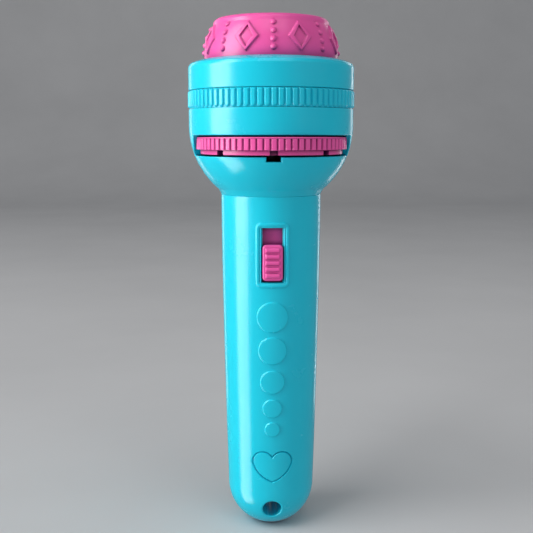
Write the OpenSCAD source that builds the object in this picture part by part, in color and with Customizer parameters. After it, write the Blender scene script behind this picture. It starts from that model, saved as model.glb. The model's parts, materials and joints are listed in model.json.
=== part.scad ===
// A child's slide-projector torch in the outline of a toy microphone.
// +Z runs up the handle from the centre of the foot, and the switch faces -Y.
// All sizes are in millimetres.

/* [Handle] */
// Height of the seam between the handle and the head
neck_z = 92.6; // [92.4:0.1:92.8]
// Radius of the handle at that seam
neck_r = 13.4; // [13.3:0.1:13.6]
// Radius of the round lower end
end_r = 11.9; // [11.8:0.1:12]
// Radius of the small flat foot under the round end
foot_r = 3.4; // [3:0.1:3.8]
// Wall of the handle shells
handle_wall = 1.6; // [1.5:0.1:1.7]
// Radius of the strap hole through the round end
strap_hole_r = 2.6; // [2.2:0.1:2.8]
// Height of the strap hole
strap_hole_z = 7; // [6.8:0.1:7.4]

/* [Switch] */
// Width of the switch window
window_w = 5.9; // [5.7:0.1:6.2]
// Lower edge of the switch window
window_z = 70.4; // [70.2:0.1:70.6]
// Height of the switch window
window_h = 14.3; // [14.1:0.1:14.4]
// Travel of the switch, upwards from off to on
switch_travel = 4.2; // [3.8:0.1:4.2]
// Width of the knob
knob_w = 5.3; // [5:0.1:5.4]
// Height of the knob
knob_h = 9.5; // [9:0.1:9.6]

/* [Head] */
// Radius of the round cup and of the straight wall above it
head_r = 21.85; // [21.8:0.05:22]
// Height of the centre of the cup's sphere
cup_z = 110.7; // [110.6:0.1:110.8]
// Wall of the cup
cup_wall = 1.6; // [1.5:0.05:1.6]
// Underside of the disc slot
slot_z = 102.9; // [102.8:0.05:102.9]
// Roof of the disc slot
slot_top_z = 108.2; // [108.2:0.05:108.3]
// Half of the slot's width across the front
slot_half_w = 20.5; // [20.3:0.1:20.6]
// Lower edge of the focus ring
ring_z = 115; // [114.9:0.1:115.1]
// Upper edge of the focus ring
ring_top_z = 119.8; // [119.6:0.1:119.9]
// Radius over the focus ring's ribs
ring_r = 22.05; // [22:0.05:22.2]
// Ribs around the focus ring
ring_ribs = 80; // [68:4:84]

/* [Lens cap] */
// Radius of the cap's straight part
cap_r = 17.6; // [17.5:0.05:17.65]
// Height of the top of the cap
cap_top_z = 138; // [137.8:0.1:138.2]
// Distance that the focus ring drives the cap out
focus_travel = 4; // [3:0.5:4]
// Turn of the focus ring over that distance, in degrees
focus_turn = 100; // [90:5:100]

/* [Slide disc] */
// Distance of the disc's axis in front of the handle's axis
disc_offset = 2.75; // [2.6:0.05:2.8]
// Radius over the disc's ribs
disc_r = 19.85; // [19.7:0.05:19.85]
// Radius of the notched flange under the rim
flange_r = 18.75; // [18.6:0.05:18.8]
// Ribs around the disc
disc_ribs = 72; // [64:8:80]
// Radius of the circle on which the pictures lie
picture_circle_r = 10.4; // [10.2:0.1:10.4]
// Radius of one picture window
picture_r = 3.2; // [3:0.1:3.2]

/* [Hidden] */

CYAN = [0.14, 0.78, 0.86];
PINK = [0.93, 0.36, 0.68];
BLACK_PLASTIC = [0.12, 0.12, 0.13];
WHITE_PLASTIC = [0.93, 0.93, 0.92];
STEEL = [0.72, 0.73, 0.75];
BRASS = [0.84, 0.68, 0.32];
BOARD_GREEN = [0.12, 0.42, 0.24];
GLASS = [0.85, 0.92, 0.95, 0.5];

ROUND = 96;     // steps of a large circle
FINE = 32;      // steps of a small circle
FAR = 40;       // longer than any half width of the part
EPS = 0.01;     // overlap that keeps cuts clean

// The round end's sphere is cut off at the foot
end_z = sqrt(end_r * end_r - foot_r * foot_r);
rear_shell_z = 14;              // the rear shell stands on the round end here
taper_steps = 6;
taper_power = 1.6;              // how fast the handle's taper fades towards the neck

// Neck joint: a spigot under the cup, held in a groove of both shells
spigot_z = 90.1;
spigot_r = 11.6;
spigot_bore_r = 10.2;
spigot_rib_r = 12.1;
spigot_rib_z = 90.5;
neck_cone_z = 94;               // below this the cup runs straight down to the neck

// Raised decoration on the front shell
decoration_root = 1.2;          // raised shapes start this deep inside the wall
circle_height = 0.4;
circle_bevel = 0.35;
circles = [[61.2, 4.15], [52.15, 3.8], [43.6, 3.3], [36.3, 2.65], [30.4, 2.1]];   // [height, radius]
heart_line = 0.32;
heart_depth = 0.3;
heart_lobe_r = 2.8;
heart_lobe_x = 2.5;
heart_lobe_z = 21.1;
heart_side_r = 8;
heart_side_angle = 22;          // how far below level the lobes run into the sides

// Raised frame around the switch window
frame_w = 8.9;
frame_h = 17.1;
frame_bead = 1.2;
frame_height = 0.45;
frame_corner_r = 1.6;

// Switch slider: a flat plate in a pocket behind the window
plate_w = 8.4;
plate_t = 0.9;
plate_y = -11.4;                // front of the plate
plate_low = 4.5;                // how far the plate reaches below the window
plate_high = 0.7;               // and above it
pocket_gap = 0.1;
knob_front_y = -13.7;
knob_ridges = 5;
knob_ridge_r = 0.55;
knob_ridge_pitch = 1.65;
knob_corner_r = 0.8;

// Circuit board behind the slider
board_front_y = -8.4;
board_t = 1;
board_w = 15.2;
board_z = 64.5;
board_h = 25;
board_posts = [[6, 67.5], [-6, 86]];    // [x, z]
pad_t = 0.12;
pads = [[70.3, 6.8], [80.6, 4.4]];      // [lower edge, height]
leaf_t = 0.25;
leaf_arcs = [71.7, 78.4];               // heights of the leaf's two crowns
leaf_half_span = 2.6;

// Case screws, from the rear
case_screws_z = [18.3, 61.3];
case_head_seat_y = 4;
case_head_r = 2.3;
case_head_h = 1.6;
screw_r = 1;
screw_hole_r = 1.05;
screw_free_r = 1.3;

// Battery cover and what lies behind it
cover_z = 24.6;
cover_h = 32;
cover_half_w = 7;
cover_gap = 0.15;
cover_skin = 0.8;
cover_lip_half_w = 6.1;
cover_lip_z = 26.2;
cover_lip_h = 24;
cover_screw_z = 53.6;
cover_seat_y = 11;
cover_boss_y = 9.2;
cover_boss_r = 3.2;
cell_r = 5.8;
cell_h = 5.4;
cell_pitch = 5.45;
cell_count = 3;
cell_y = 1.8;
cell_z = 29.9;
carrier_z = 26.4;
carrier_h = 22.2;
carrier_front_y = -6;
carrier_bore_r = 5.95;
carrier_bore_z = 28.2;
carrier_bore_h = 18.5;
contact_w = 5;
wire_r = 0.5;

// Light path, behind the handle's axis
light_y = picture_circle_r - disc_offset;
lamp_board_z = 96.2;
lamp_board_r = 4.6;
lamp_board_t = 0.8;
led_w = 3.5;
led_h = 1.6;
tray_z = 101.1;
condenser_r = 4.2;
light_hole_r = 3.7;

// Slide disc, seen from its lower face upwards
flange_z = 103.35;
rim_z = 104.6;
rim_top_z = 107.8;
rim_inner_r = 17.2;
film_r = 16.9;
film_t = 0.15;
film_cover_t = 1.2;
picture_count = 8;
notch_w = 2.1;
notch_depth = 2.2;
rib_groove = 0.4;
hub_r = 1.5;
hub_hole_r = 1.56;
hub_foot_r = 1.75;
hub_foot_z = 101.85;
groove_half_w = 1.9;
groove_z = 101.7;
pocket_r = 20.15;

// Focus drive: guide tube inside, screw sleeve around it, pins through both
tube_inner_r = 17.7;
tube_r = 19.3;
tube_top_z = 125.45;
roof_top_z = 109.6;
sleeve_inner_r = 19.38;
sleeve_r = 20.4;
sleeve_z = 110.9;
wall_inner_r = 20.6;
fill_gap = 0.05;                // between the cup and the pieces that fill it
pin_r = 0.9;
pin_z = 113.2;
pin_angles = [90, 210, 330];
thread_steps = 12;
band_chamfer = 0.35;

// Lens cap above its straight skirt
cap_skirt_z = 111;
cap_skirt_wall = 1.4;
cap_curve_z = 128.7;
cap_curve_r = 13.6;
cap_rim_r = 1.65;
cap_rim_z = cap_top_z - cap_rim_r;
cap_rim_x = cap_r - cap_curve_r + sqrt(pow(cap_curve_r, 2) - pow(cap_rim_z - cap_curve_z, 2)) - cap_rim_r;
cap_dish_r = 11.9;
cap_dish_z = cap_top_z - 1.2;
cap_roof_z = cap_top_z - 3;
cap_columns = 8;
bead_r = 0.75;
bead_heights = [129.5, 131.5, 133.55, 135.65];
rhomb_height = 0.5;
rhomb_z = 132.3;
rhomb_line = 0.55;
rhombs = [[6.5, 8], [3.2, 5]];          // [width, height] of the outer and inner ridge
lens_r = 4.7;
lens_t = 2.6;
lens_tube_r = 5.9;
lens_seat_r = 4.75;
lens_opening_r = 3.6;

// ---- Shared shapes ----

// A solid of revolution about Z from [radius, height] points
module turned(points) {
    rotate_extrude($fn = ROUND) polygon(points);
}

// Everything between two heights
module slab(z_low, z_high) {
    translate([-FAR, -FAR, z_low]) cube([2 * FAR, 2 * FAR, z_high - z_low]);
}

// The front half, or the rear half, of space above z = 0
module half_space(side) {
    translate([-FAR, side == "front" ? -FAR : 0, -FAR]) cube([2 * FAR, FAR, 5 * FAR]);
}

// A cylinder along Y from y_low to y_high, with its axis at [x, z]
module rod_y(r, x, z, y_low, y_high, r_high = 0, steps = FINE) {
    translate([x, y_low, z])
        rotate([-90, 0, 0])
            cylinder(r1 = r, r2 = r_high > 0 ? r_high : r, h = y_high - y_low, $fn = steps);
}

// A flat shape in X and Z, extruded along Y from y_low to y_high
module plate_xz(y_low, y_high) {
    translate([0, y_high, 0]) rotate([90, 0, 0]) linear_extrude(y_high - y_low) children();
}

// A rectangle with round corners, centred on x = 0, from z upwards
module round_rect(w, h, r, z) {
    translate([-w / 2, z + r]) square([w, h - 2 * r]);
    translate([-w / 2 + r, z]) square([w - 2 * r, h]);
    for (x = [-w / 2 + r, w / 2 - r], y = [z + r, z + h - r])
        translate([x, y]) circle(r = r, $fn = FINE);
}

// A wire of straight runs and round bends through the given points
module wire(points) {
    for (i = [0 : len(points) - 2]) {
        run = points[i + 1] - points[i];
        length = norm(run);
        translate(points[i])
            rotate([0, acos(run[2] / length), atan2(run[1], run[0])])
                cylinder(r = wire_r, h = length, $fn = 16);
    }
    for (i = [1 : len(points) - 2])
        translate(points[i]) sphere(r = 1.06 * wire_r, $fn = 16);
}

// A round disc outline with V grooves around its edge
module grooved_circle(r, grooves, depth) {
    difference() {
        circle(r = r, $fn = ROUND);
        for (i = [0 : grooves - 1])
            rotate((i + 0.5) * 360 / grooves)
                translate([r, 0])
                    polygon([[-depth, 0], [depth, -2 * depth], [depth, 2 * depth]]);
    }
}

// ---- Handle ----

function handle_r(z) = end_r
    + (neck_r - end_r) * (1 - pow(1 - (z - end_z) / (neck_z - end_z), taper_power));

// The handle as a solid, grown or shrunk by the given amount
module handle_solid(grow = 0) {
    heights = [for (i = [0 : taper_steps]) end_z + (neck_z - end_z) * i / taper_steps];
    rotate_extrude($fn = ROUND)
        union() {
            polygon(concat(
                [[0, end_z]],
                [for (z = heights) [handle_r(z) + grow, z]],
                [[0, neck_z]]
            ));
            intersection() {
                translate([0, end_z]) circle(r = end_r + grow, $fn = ROUND);
                square([FAR, end_z]);
            }
        }
}

// A skin around the handle, between two offsets from its surface
module handle_skin(outer, inner) {
    difference() {
        handle_solid(outer);
        handle_solid(inner);
    }
}

// The hollow inside both shells, above the floor of the round end
module handle_hollow() {
    intersection() {
        handle_solid(-handle_wall);
        slab(handle_wall, neck_z + 1);
    }
}

module heart_shape(inset) {
    side_x = (heart_side_r - heart_lobe_r) * cos(heart_side_angle) - heart_lobe_x;
    side_z = heart_lobe_z + (heart_side_r - heart_lobe_r) * sin(heart_side_angle);
    join_z = heart_lobe_z - heart_lobe_r * sin(heart_side_angle);
    for (side = [-1, 1])
        translate([side * heart_lobe_x, heart_lobe_z])
            circle(r = heart_lobe_r - inset, $fn = ROUND);
    intersection() {
        translate([side_x, side_z]) circle(r = heart_side_r - inset, $fn = ROUND);
        translate([-side_x, side_z]) circle(r = heart_side_r - inset, $fn = ROUND);
        translate([-FAR, 0]) square([2 * FAR, join_z]);
    }
}

// A groove along the heart's outline, as deep as heart_depth everywhere
module heart_groove() {
    difference() {
        plate_xz(-FAR, -end_r / 2)
            difference() {
                heart_shape(0);
                heart_shape(heart_line);
            }
        handle_solid(-heart_depth);
    }
}

// A ring segment that follows the handle between two heights, grown by the given amount
module handle_band(z_low, z_high, grow) {
    translate([0, 0, z_low])
        cylinder(r1 = handle_r(z_low) + grow, r2 = handle_r(z_high) + grow, h = z_high - z_low, $fn = ROUND);
}

module raised_circles() {
    for (c = circles)
        intersection() {
            rod_y(c[1] - circle_bevel, 0, c[0],
                -handle_r(c[0]) - circle_height, decoration_root - handle_r(c[0]),
                c[1] + circle_bevel, ROUND);
            handle_band(c[0] - c[1] - 1, c[0] + c[1] + 1, circle_height);
        }
}

module window_frame() {
    mid_z = window_z + window_h / 2;
    low_z = mid_z - frame_h / 2;
    intersection() {
        plate_xz(-FAR, decoration_root - handle_r(mid_z))
            difference() {
                round_rect(frame_w, frame_h, frame_corner_r, low_z);
                round_rect(frame_w - 2 * frame_bead, frame_h - 2 * frame_bead,
                    frame_corner_r - frame_bead / 2, low_z + frame_bead);
            }
        handle_band(low_z - 1, low_z + frame_h + 1, frame_height);
    }
}

// Bosses, posts and ribs inside the front shell
module front_shell_inside() {
    intersection() {
        union() {
            for (z = case_screws_z)
                rod_y(2.7, 0, z, -FAR, 0);
            for (post = board_posts)
                rod_y(1.5, post[0], post[1], -FAR, board_front_y);
            for (z = [30, 44])
                translate([-7, -FAR, z - 0.75]) cube([14, FAR + carrier_front_y - 0.05, 1.5]);
        }
        handle_solid(-handle_wall / 2);
    }
}

module handle_front_shell() {
    color(CYAN)
    difference() {
        union() {
            difference() {
                handle_solid();
                handle_hollow();
                translate([-FAR, 0, rear_shell_z]) cube([2 * FAR, FAR, neck_z]);
            }
            // Tunnel for the strap
            intersection() {
                rod_y(strap_hole_r + handle_wall, 0, strap_hole_z, -FAR, FAR);
                handle_solid();
            }
            raised_circles();
            window_frame();
            front_shell_inside();
        }
        // Strap hole with a small bevel at both mouths
        rod_y(strap_hole_r, 0, strap_hole_z, -FAR, FAR, 0, ROUND);
        for (side = [-1, 1])
            translate([0, side * 10.9, strap_hole_z])
                rotate([-90 * side, 0, 0])
                    cylinder(r1 = strap_hole_r, r2 = strap_hole_r + 1, h = 1, $fn = ROUND);
        // Switch window and the pocket behind it
        translate([-window_w / 2, -FAR, window_z]) cube([window_w, FAR, window_h]);
        translate([-plate_w / 2 - 0.5, plate_y - pocket_gap, window_z - plate_low - 0.7])
            cube([plate_w + 1, 2.5, plate_low + window_h + plate_high + switch_travel + 1.1]);
        heart_groove();
        for (z = case_screws_z)
            rod_y(screw_hole_r, 0, z, -7, EPS);
        for (post = board_posts)
            rod_y(0.85, post[0], post[1], -10.2, board_front_y + EPS);
        neck_groove();
    }
}

// Groove in both shells for the rib of the cup's spigot
module neck_groove() {
    translate([0, 0, spigot_rib_z - 0.1]) cylinder(r = spigot_rib_r + 0.15, h = 1.2, $fn = ROUND);
}

module cover_outline(gap) {
    translate([-cover_half_w + gap, cover_z + gap])
        square([2 * (cover_half_w - gap), cover_h - 2 * gap]);
}

module handle_rear_shell() {
    color(CYAN)
    difference() {
        union() {
            difference() {
                handle_solid();
                handle_hollow();
            }
            intersection() {
                union() {
                    for (z = case_screws_z)
                        rod_y(3.4, 0, z, 0, FAR);
                    rod_y(4.4, 0, cover_screw_z, 4.5, FAR);
                }
                handle_solid(-handle_wall / 2);
            }
        }
        half_space("front");
        slab(-1, rear_shell_z);
        // Recess for the cover's skin, and the opening inside it
        difference() {
            plate_xz(end_r / 2, FAR) cover_outline(0);
            handle_solid(-cover_skin - 0.05);
        }
        plate_xz(end_r / 2, FAR)
            translate([-cover_lip_half_w, cover_lip_z]) square([2 * cover_lip_half_w, cover_lip_h]);
        rod_y(cover_boss_r + 0.2, 0, cover_screw_z, cover_boss_y - 0.1, FAR);
        rod_y(screw_hole_r, 0, cover_screw_z, 4, FAR);
        for (z = case_screws_z) {
            rod_y(screw_free_r, 0, z, -1, FAR);
            rod_y(case_head_r + 0.3, 0, z, case_head_seat_y, FAR);
        }
        neck_groove();
    }
}

module case_screws() {
    color(STEEL)
    for (z = case_screws_z)
        cross_screw(z, case_head_seat_y, case_head_r, case_head_h, 10);
}

// A screw along Y with a domed head and a cross recess, its head at the rear
module cross_screw(z, seat_y, head_r, head_h, length) {
    dome_r = head_r * 1.6;
    difference() {
        union() {
            rod_y(screw_r, 0, z, seat_y - length, seat_y + EPS);
            intersection() {
                rod_y(head_r, 0, z, seat_y, seat_y + head_h);
                translate([0, seat_y + head_h - dome_r, z]) sphere(r = dome_r, $fn = ROUND);
            }
        }
        for (turn = [0, 90])
            translate([0, seat_y + head_h, z])
                rotate([0, turn, 0])
                    cube([head_r * 1.15, head_h, 0.45], center = true);
    }
}

module battery_cover() {
    grip_z = 28;
    color(CYAN)
    difference() {
        union() {
            // Skin that lies in the recess
            intersection() {
                plate_xz(end_r / 2, FAR) cover_outline(cover_gap);
                handle_skin(0, -cover_skin);
            }
            // Thicker middle that fills the opening
            intersection() {
                plate_xz(end_r / 2, FAR)
                    translate([-cover_lip_half_w + 0.2, cover_lip_z + 0.2])
                        square([2 * cover_lip_half_w - 0.4, cover_lip_h - 0.4]);
                handle_skin(-cover_skin / 2, -handle_wall);
            }
            // Boss for the screw
            intersection() {
                rod_y(cover_boss_r, 0, cover_screw_z, cover_boss_y, FAR);
                handle_solid(-cover_skin / 2);
            }
            // Grip ridges
            intersection() {
                for (i = [0 : 4])
                    translate([-3.5, 0, grip_z + 1.6 * i]) cube([7, FAR, 0.7]);
                handle_skin(0.4, -cover_skin / 2);
            }
        }
        rod_y(screw_free_r, 0, cover_screw_z, 0, FAR);
        rod_y(case_head_r + 0.2, 0, cover_screw_z, cover_seat_y, FAR);
    }
}

module cover_screw() {
    color(STEEL) cross_screw(cover_screw_z, cover_seat_y, case_head_r - 0.1, 1.4, 6);
}

// ---- Battery ----

module battery_carrier() {
    color(BLACK_PLASTIC)
    difference() {
        intersection() {
            translate([-7.4, carrier_front_y, carrier_z]) cube([14.8, 14.2, carrier_h]);
            translate([0, 0, carrier_z]) cylinder(r = 10.3, h = carrier_h, $fn = ROUND);
        }
        translate([0, cell_y, carrier_bore_z])
            cylinder(r = carrier_bore_r, h = carrier_bore_h, $fn = ROUND);
        translate([-carrier_bore_r, cell_y, carrier_bore_z])
            cube([2 * carrier_bore_r, FAR, carrier_bore_h]);
        // Slits for the contact tabs
        for (z = [carrier_bore_z, carrier_bore_z + carrier_bore_h - 0.6])
            translate([-1.7, carrier_front_y - 1, z]) cube([3.4, 4, 0.6]);
    }
}

module button_cells() {
    color(STEEL)
    for (i = [0 : cell_count - 1])
        translate([0, cell_y, cell_z + i * cell_pitch])
            turned([
                [0, 0], [cell_r - 0.25, 0], [cell_r, 0.25], [cell_r, cell_h - 0.9],
                [cell_r - 0.7, cell_h - 0.6], [cell_r - 0.8, cell_h], [0, cell_h]
            ]);
}

// A strip bowed between two feet, as a flat shape: feet on y = 0, crown at y = rise
module bow_shape(half_span, rise, thickness) {
    bow_r = (half_span * half_span + rise * rise) / (2 * rise);
    intersection() {
        translate([0, rise - bow_r])
            difference() {
                circle(r = bow_r, $fn = ROUND);
                circle(r = bow_r - thickness, $fn = ROUND);
            }
        translate([-half_span, 0]) square([2 * half_span, rise + 1]);
    }
}

module negative_contact() {
    base_t = 0.3;
    color(STEEL)
    translate([0, 0, carrier_bore_z + 0.05]) {
        translate([0, cell_y + contact_w / 2, 0])
            rotate([90, 0, 0])
                linear_extrude(contact_w) {
                    translate([-4.4, 0]) square([8.8, base_t]);
                    translate([0, base_t - 0.05])
                        bow_shape(3.8, cell_z - carrier_bore_z - base_t - 0.05, 0.3);
                }
        translate([-1.5, carrier_front_y - 1.6, 0]) cube([3, 1.6 - carrier_front_y, base_t]);
    }
}

module positive_contact() {
    top_of_cells = cell_z + (cell_count - 1) * cell_pitch + cell_h;
    color(STEEL)
    translate([0, 0, top_of_cells + 0.03]) {
        translate([-3.5, cell_y - 4, 0]) cube([7, 8, 0.35]);
        translate([-1.5, carrier_front_y - 1.6, 0]) cube([3, 6, 0.35]);
    }
}

module battery_wire() {
    color([0.8, 0.1, 0.1])
    wire([[0, -7, 47.3], [-4.5, -6.85, 53.5], [-4.5, -6.85, 67]]);
}

module return_wire() {
    color([0.1, 0.1, 0.1])
    wire([
        [0.6, -7, 27.7], [2.2, -7, 25.7], [8.6, -4, 25.7], [8.6, -4, 89],
        [7.6, -1.5, 94.2], [2.6, light_y - 1.5, 95.65]
    ]);
}

module lamp_wire() {
    color([0.9, 0.8, 0.2])
    wire([[3.5, -6.85, 86], [3.5, -6.5, 91.5], [-1.2, 2, 94.4], [-2.2, light_y - 1.5, 95.65]]);
}

// ---- Switch ----

module switch_slider() {
    knob_z = window_z + 0.5;
    plate_z = window_z - plate_low;
    color(PINK)
    union() {
        translate([-plate_w / 2, plate_y, plate_z])
            cube([plate_w, plate_t, plate_low + window_h + plate_high]);
        plate_xz(knob_front_y, plate_y + EPS)
            round_rect(knob_w, knob_h, knob_corner_r, knob_z);
        for (i = [0 : knob_ridges - 1])
            translate([-knob_w / 2 + 0.45, knob_front_y,
                       knob_z + knob_h / 2 + (i - (knob_ridges - 1) / 2) * knob_ridge_pitch])
                rotate([0, 90, 0])
                    cylinder(r = knob_ridge_r, h = knob_w - 0.9, $fn = FINE);
    }
}

module switch_contact_leaf() {
    back_y = plate_y + plate_t;
    rise = board_front_y - pad_t - 0.03 - back_y;
    color(BRASS)
    translate([1.5, back_y, 0])
        rotate([90, 0, -90])
            linear_extrude(3)
                rotate(90)
                    for (z = leaf_arcs)
                        translate([z, 0]) {
                            bow_shape(leaf_half_span, rise, leaf_t);
                            translate([-leaf_half_span - 1, 0])
                                square([2, leaf_t]);
                            translate([leaf_half_span - 1, 0])
                                square([2, leaf_t]);
                        }
}

module switch_board() {
    color(BOARD_GREEN)
    difference() {
        translate([-board_w / 2, board_front_y, board_z]) cube([board_w, board_t, board_h]);
        for (post = board_posts)
            rod_y(0.95, post[0], post[1], -FAR, 0);
    }
}

module contact_pads() {
    color(BRASS)
    for (pad = pads)
        translate([-2.2, board_front_y - pad_t, pad[0]]) cube([4.4, pad_t, pad[1]]);
}

module series_resistor() {
    y = board_front_y + board_t;
    color([0.8, 0.7, 0.5])
    translate([2.2, y + 1.1, 72]) {
        cylinder(r = 1, h = 5, $fn = FINE);
        for (z = [-2, 5])
            translate([0, 0, z]) cylinder(r = 0.3, h = 2, $fn = FINE);
        for (z = [-2, 6.4])
            translate([-0.3, -1.1, z]) cube([0.6, 1.1, 0.6]);
    }
}

module board_screws() {
    back_y = board_front_y + board_t;
    color(STEEL)
    for (post = board_posts) {
        rod_y(1.45, post[0], post[1], back_y, back_y + 0.8);
        rod_y(0.8, post[0], post[1], -10, back_y + EPS);
    }
}

// ---- Head ----

// The cup seen from the side: a round bottom of the given radius under a straight wall
module cup_side(round_r, straight_r, top_z) {
    intersection() {
        translate([0, cup_z]) circle(r = round_r, $fn = ROUND);
        translate([0, neck_cone_z]) square([FAR, cup_z - neck_cone_z]);
    }
    translate([0, cup_z]) square([straight_r, top_z - cup_z]);
}

// A solid that fills the inside of the cup up to the given height, with a fitting gap
module cup_filling(top_z) {
    rotate_extrude($fn = ROUND)
        cup_side(head_r - cup_wall - fill_gap, head_r - cup_wall - fill_gap, top_z);
}

module head_cup() {
    cone_top_r = sqrt(pow(head_r, 2) - pow(cup_z - neck_cone_z, 2));
    bevel_z = ring_z - band_chamfer;
    color(CYAN)
    difference() {
        rotate_extrude($fn = ROUND) {
            cup_side(head_r, head_r, bevel_z);
            // Bevel at the top edge
            polygon([[0, bevel_z], [head_r, bevel_z], [head_r - band_chamfer, ring_z], [0, ring_z]]);
            // Small cone at the neck, spigot and its rib
            polygon([
                [0, spigot_z], [spigot_r, spigot_z], [spigot_r, spigot_rib_z],
                [spigot_rib_r, spigot_rib_z + 0.2], [spigot_rib_r, spigot_rib_z + 0.8],
                [spigot_r, spigot_rib_z + 1], [spigot_r, neck_z], [neck_r - 0.15, neck_z],
                [cone_top_r, neck_cone_z], [0, neck_cone_z]
            ]);
        }
        // Inside, a little wider above the guide tube's roof
        rotate_extrude($fn = ROUND) cup_side(head_r - cup_wall, head_r - cup_wall, ring_z + 1);
        translate([0, 0, sleeve_z - 0.9]) cylinder(r = wall_inner_r, h = 10, $fn = ROUND);
        translate([0, 0, spigot_z - 1]) cylinder(r = spigot_bore_r, h = 6, $fn = ROUND);
        // Slot for the disc
        translate([-slot_half_w, -FAR, slot_z])
            cube([2 * slot_half_w, FAR - disc_offset, slot_top_z - slot_z]);
        translate([0, -disc_offset, slot_z])
            cylinder(r = pocket_r, h = slot_top_z - slot_z, $fn = ROUND);
        // Entrance of the guide groove in the lower lip
        translate([-groove_half_w, -FAR, groove_z])
            cube([2 * groove_half_w, FAR - disc_offset, slot_z - groove_z + 1]);
    }
}

module disc_tray() {
    color(CYAN)
    difference() {
        intersection() {
            cup_filling(slot_top_z + 3);
            slab(tray_z, slot_top_z);
        }
        translate([0, -disc_offset, slot_z]) cylinder(r = pocket_r, h = 10, $fn = ROUND);
        translate([-pocket_r - 1, -FAR, slot_z]) cube([2 * pocket_r + 2, FAR - disc_offset, 10]);
        // Guide groove with a round end at the disc's axis
        translate([-groove_half_w, -FAR, groove_z]) cube([2 * groove_half_w, FAR - disc_offset, 5]);
        translate([0, -disc_offset, groove_z]) cylinder(r = groove_half_w, h = 5, $fn = ROUND);
        // Light hole, with a seat for the condenser below
        translate([0, light_y, tray_z - 1]) cylinder(r = light_hole_r, h = 5, $fn = ROUND);
        translate([0, light_y, tray_z - 1]) cylinder(r = condenser_r + 0.1, h = 2.1, $fn = ROUND);
        // Pocket for the detent spring
        translate([-6.3, 14, flange_z]) cube([12.6, 3.7, rim_z - flange_z]);
    }
}

module detent_spring() {
    y = flange_r - disc_offset + 1.3;
    tip = y - 1.9;
    t = 0.25;
    color(STEEL)
    translate([0, 0, flange_z + 0.1])
        linear_extrude(rim_z - flange_z - 0.2)
            polygon([
                [-6.1, y], [-1.3, y], [-0.35, tip], [0.35, tip], [1.3, y], [6.1, y],
                [6.1, y + t], [1.1, y + t], [0.2, tip + t], [-0.2, tip + t], [-1.1, y + t], [-6.1, y + t]
            ]);
}

module lamp_board() {
    color(BOARD_GREEN)
    translate([0, light_y, lamp_board_z])
        cylinder(r = lamp_board_r, h = lamp_board_t, $fn = ROUND);
}

module led() {
    z = lamp_board_z + lamp_board_t;
    color([0.95, 0.9, 0.5])
    union() {
        translate([-led_w / 2, light_y - led_w / 2, z]) cube([led_w, led_w, led_h - 0.5]);
        translate([0, light_y, z + led_h - 0.5 - EPS]) cylinder(r = led_w / 2 - 0.3, h = 0.5, $fn = FINE);
    }
}

module reflector() {
    z = lamp_board_z + lamp_board_t;
    color(WHITE_PLASTIC)
    translate([0, light_y, 0])
        turned([
            [2.6, z], [5.3, z], [5.3, tray_z], [condenser_r, tray_z], [2.7, z + led_h]
        ]);
}

module condenser_lens() {
    color(GLASS)
    translate([0, light_y, 0])
        intersection() {
            translate([0, 0, tray_z + 0.05]) cylinder(r = condenser_r, h = 1.6, $fn = ROUND);
            translate([0, 0, tray_z + 1.55 - 9.5]) sphere(r = 9.5, $fn = ROUND);
        }
}

// ---- Slide disc ----

module picture_windows(r) {
    for (i = [0 : picture_count - 1])
        rotate(90 + i * 360 / picture_count)
            translate([picture_circle_r, 0, 0])
                cylinder(r = r, h = FAR, center = true, $fn = FINE);
}

module slide_disc_wheel() {
    chamfer = 0.3;
    color(PINK)
    translate([0, -disc_offset, 0])
        difference() {
            union() {
                translate([0, 0, flange_z])
                    linear_extrude(rim_z - flange_z + EPS)
                        difference() {
                            circle(r = flange_r, $fn = ROUND);
                            for (i = [0 : picture_count - 1])
                                rotate(90 + i * 360 / picture_count)
                                    translate([flange_r - notch_depth, -notch_w / 2])
                                        square([5, notch_w]);
                        }
                intersection() {
                    translate([0, 0, rim_z])
                        linear_extrude(rim_top_z - rim_z) grooved_circle(disc_r, disc_ribs, rib_groove);
                    turned([
                        [rim_inner_r, rim_z], [disc_r - chamfer, rim_z], [disc_r + EPS, rim_z + chamfer],
                        [disc_r + EPS, rim_top_z - chamfer], [disc_r - chamfer, rim_top_z],
                        [rim_inner_r, rim_top_z]
                    ]);
                }
            }
            translate([0, 0, flange_z + 1]) picture_windows(picture_r);
            cylinder(r = hub_hole_r, h = 2 * cap_top_z, $fn = FINE);
        }
}

module picture_film() {
    color([0.3, 0.3, 0.6, 0.6])
    translate([0, -disc_offset, rim_z + 0.02])
        difference() {
            cylinder(r = film_r, h = film_t, $fn = ROUND);
            translate([0, 0, -1]) cylinder(r = 2.2, h = 2, $fn = FINE);
        }
}

module film_cover() {
    color(PINK)
    translate([0, -disc_offset, rim_z + 0.02 + film_t + 0.02])
        difference() {
            cylinder(r = rim_inner_r - 0.15, h = film_cover_t, $fn = ROUND);
            picture_windows(picture_r);
            translate([0, 0, -1]) cylinder(r = 1.8, h = 4, $fn = FINE);
        }
}

module disc_hub() {
    cover_top_z = rim_z + film_t + film_cover_t + 0.04;
    color(WHITE_PLASTIC)
    translate([0, -disc_offset, 0])
        turned([
            [0, hub_foot_z], [hub_foot_r, hub_foot_z], [hub_foot_r, flange_z - 0.1],
            [hub_r, flange_z - 0.1], [hub_r, cover_top_z + 0.1], [2.6, cover_top_z + 0.1],
            [2.6, cover_top_z + 0.5], [1.8, cover_top_z + 0.9], [0, cover_top_z + 0.9]
        ]);
}

// ---- Focus drive ----

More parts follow.
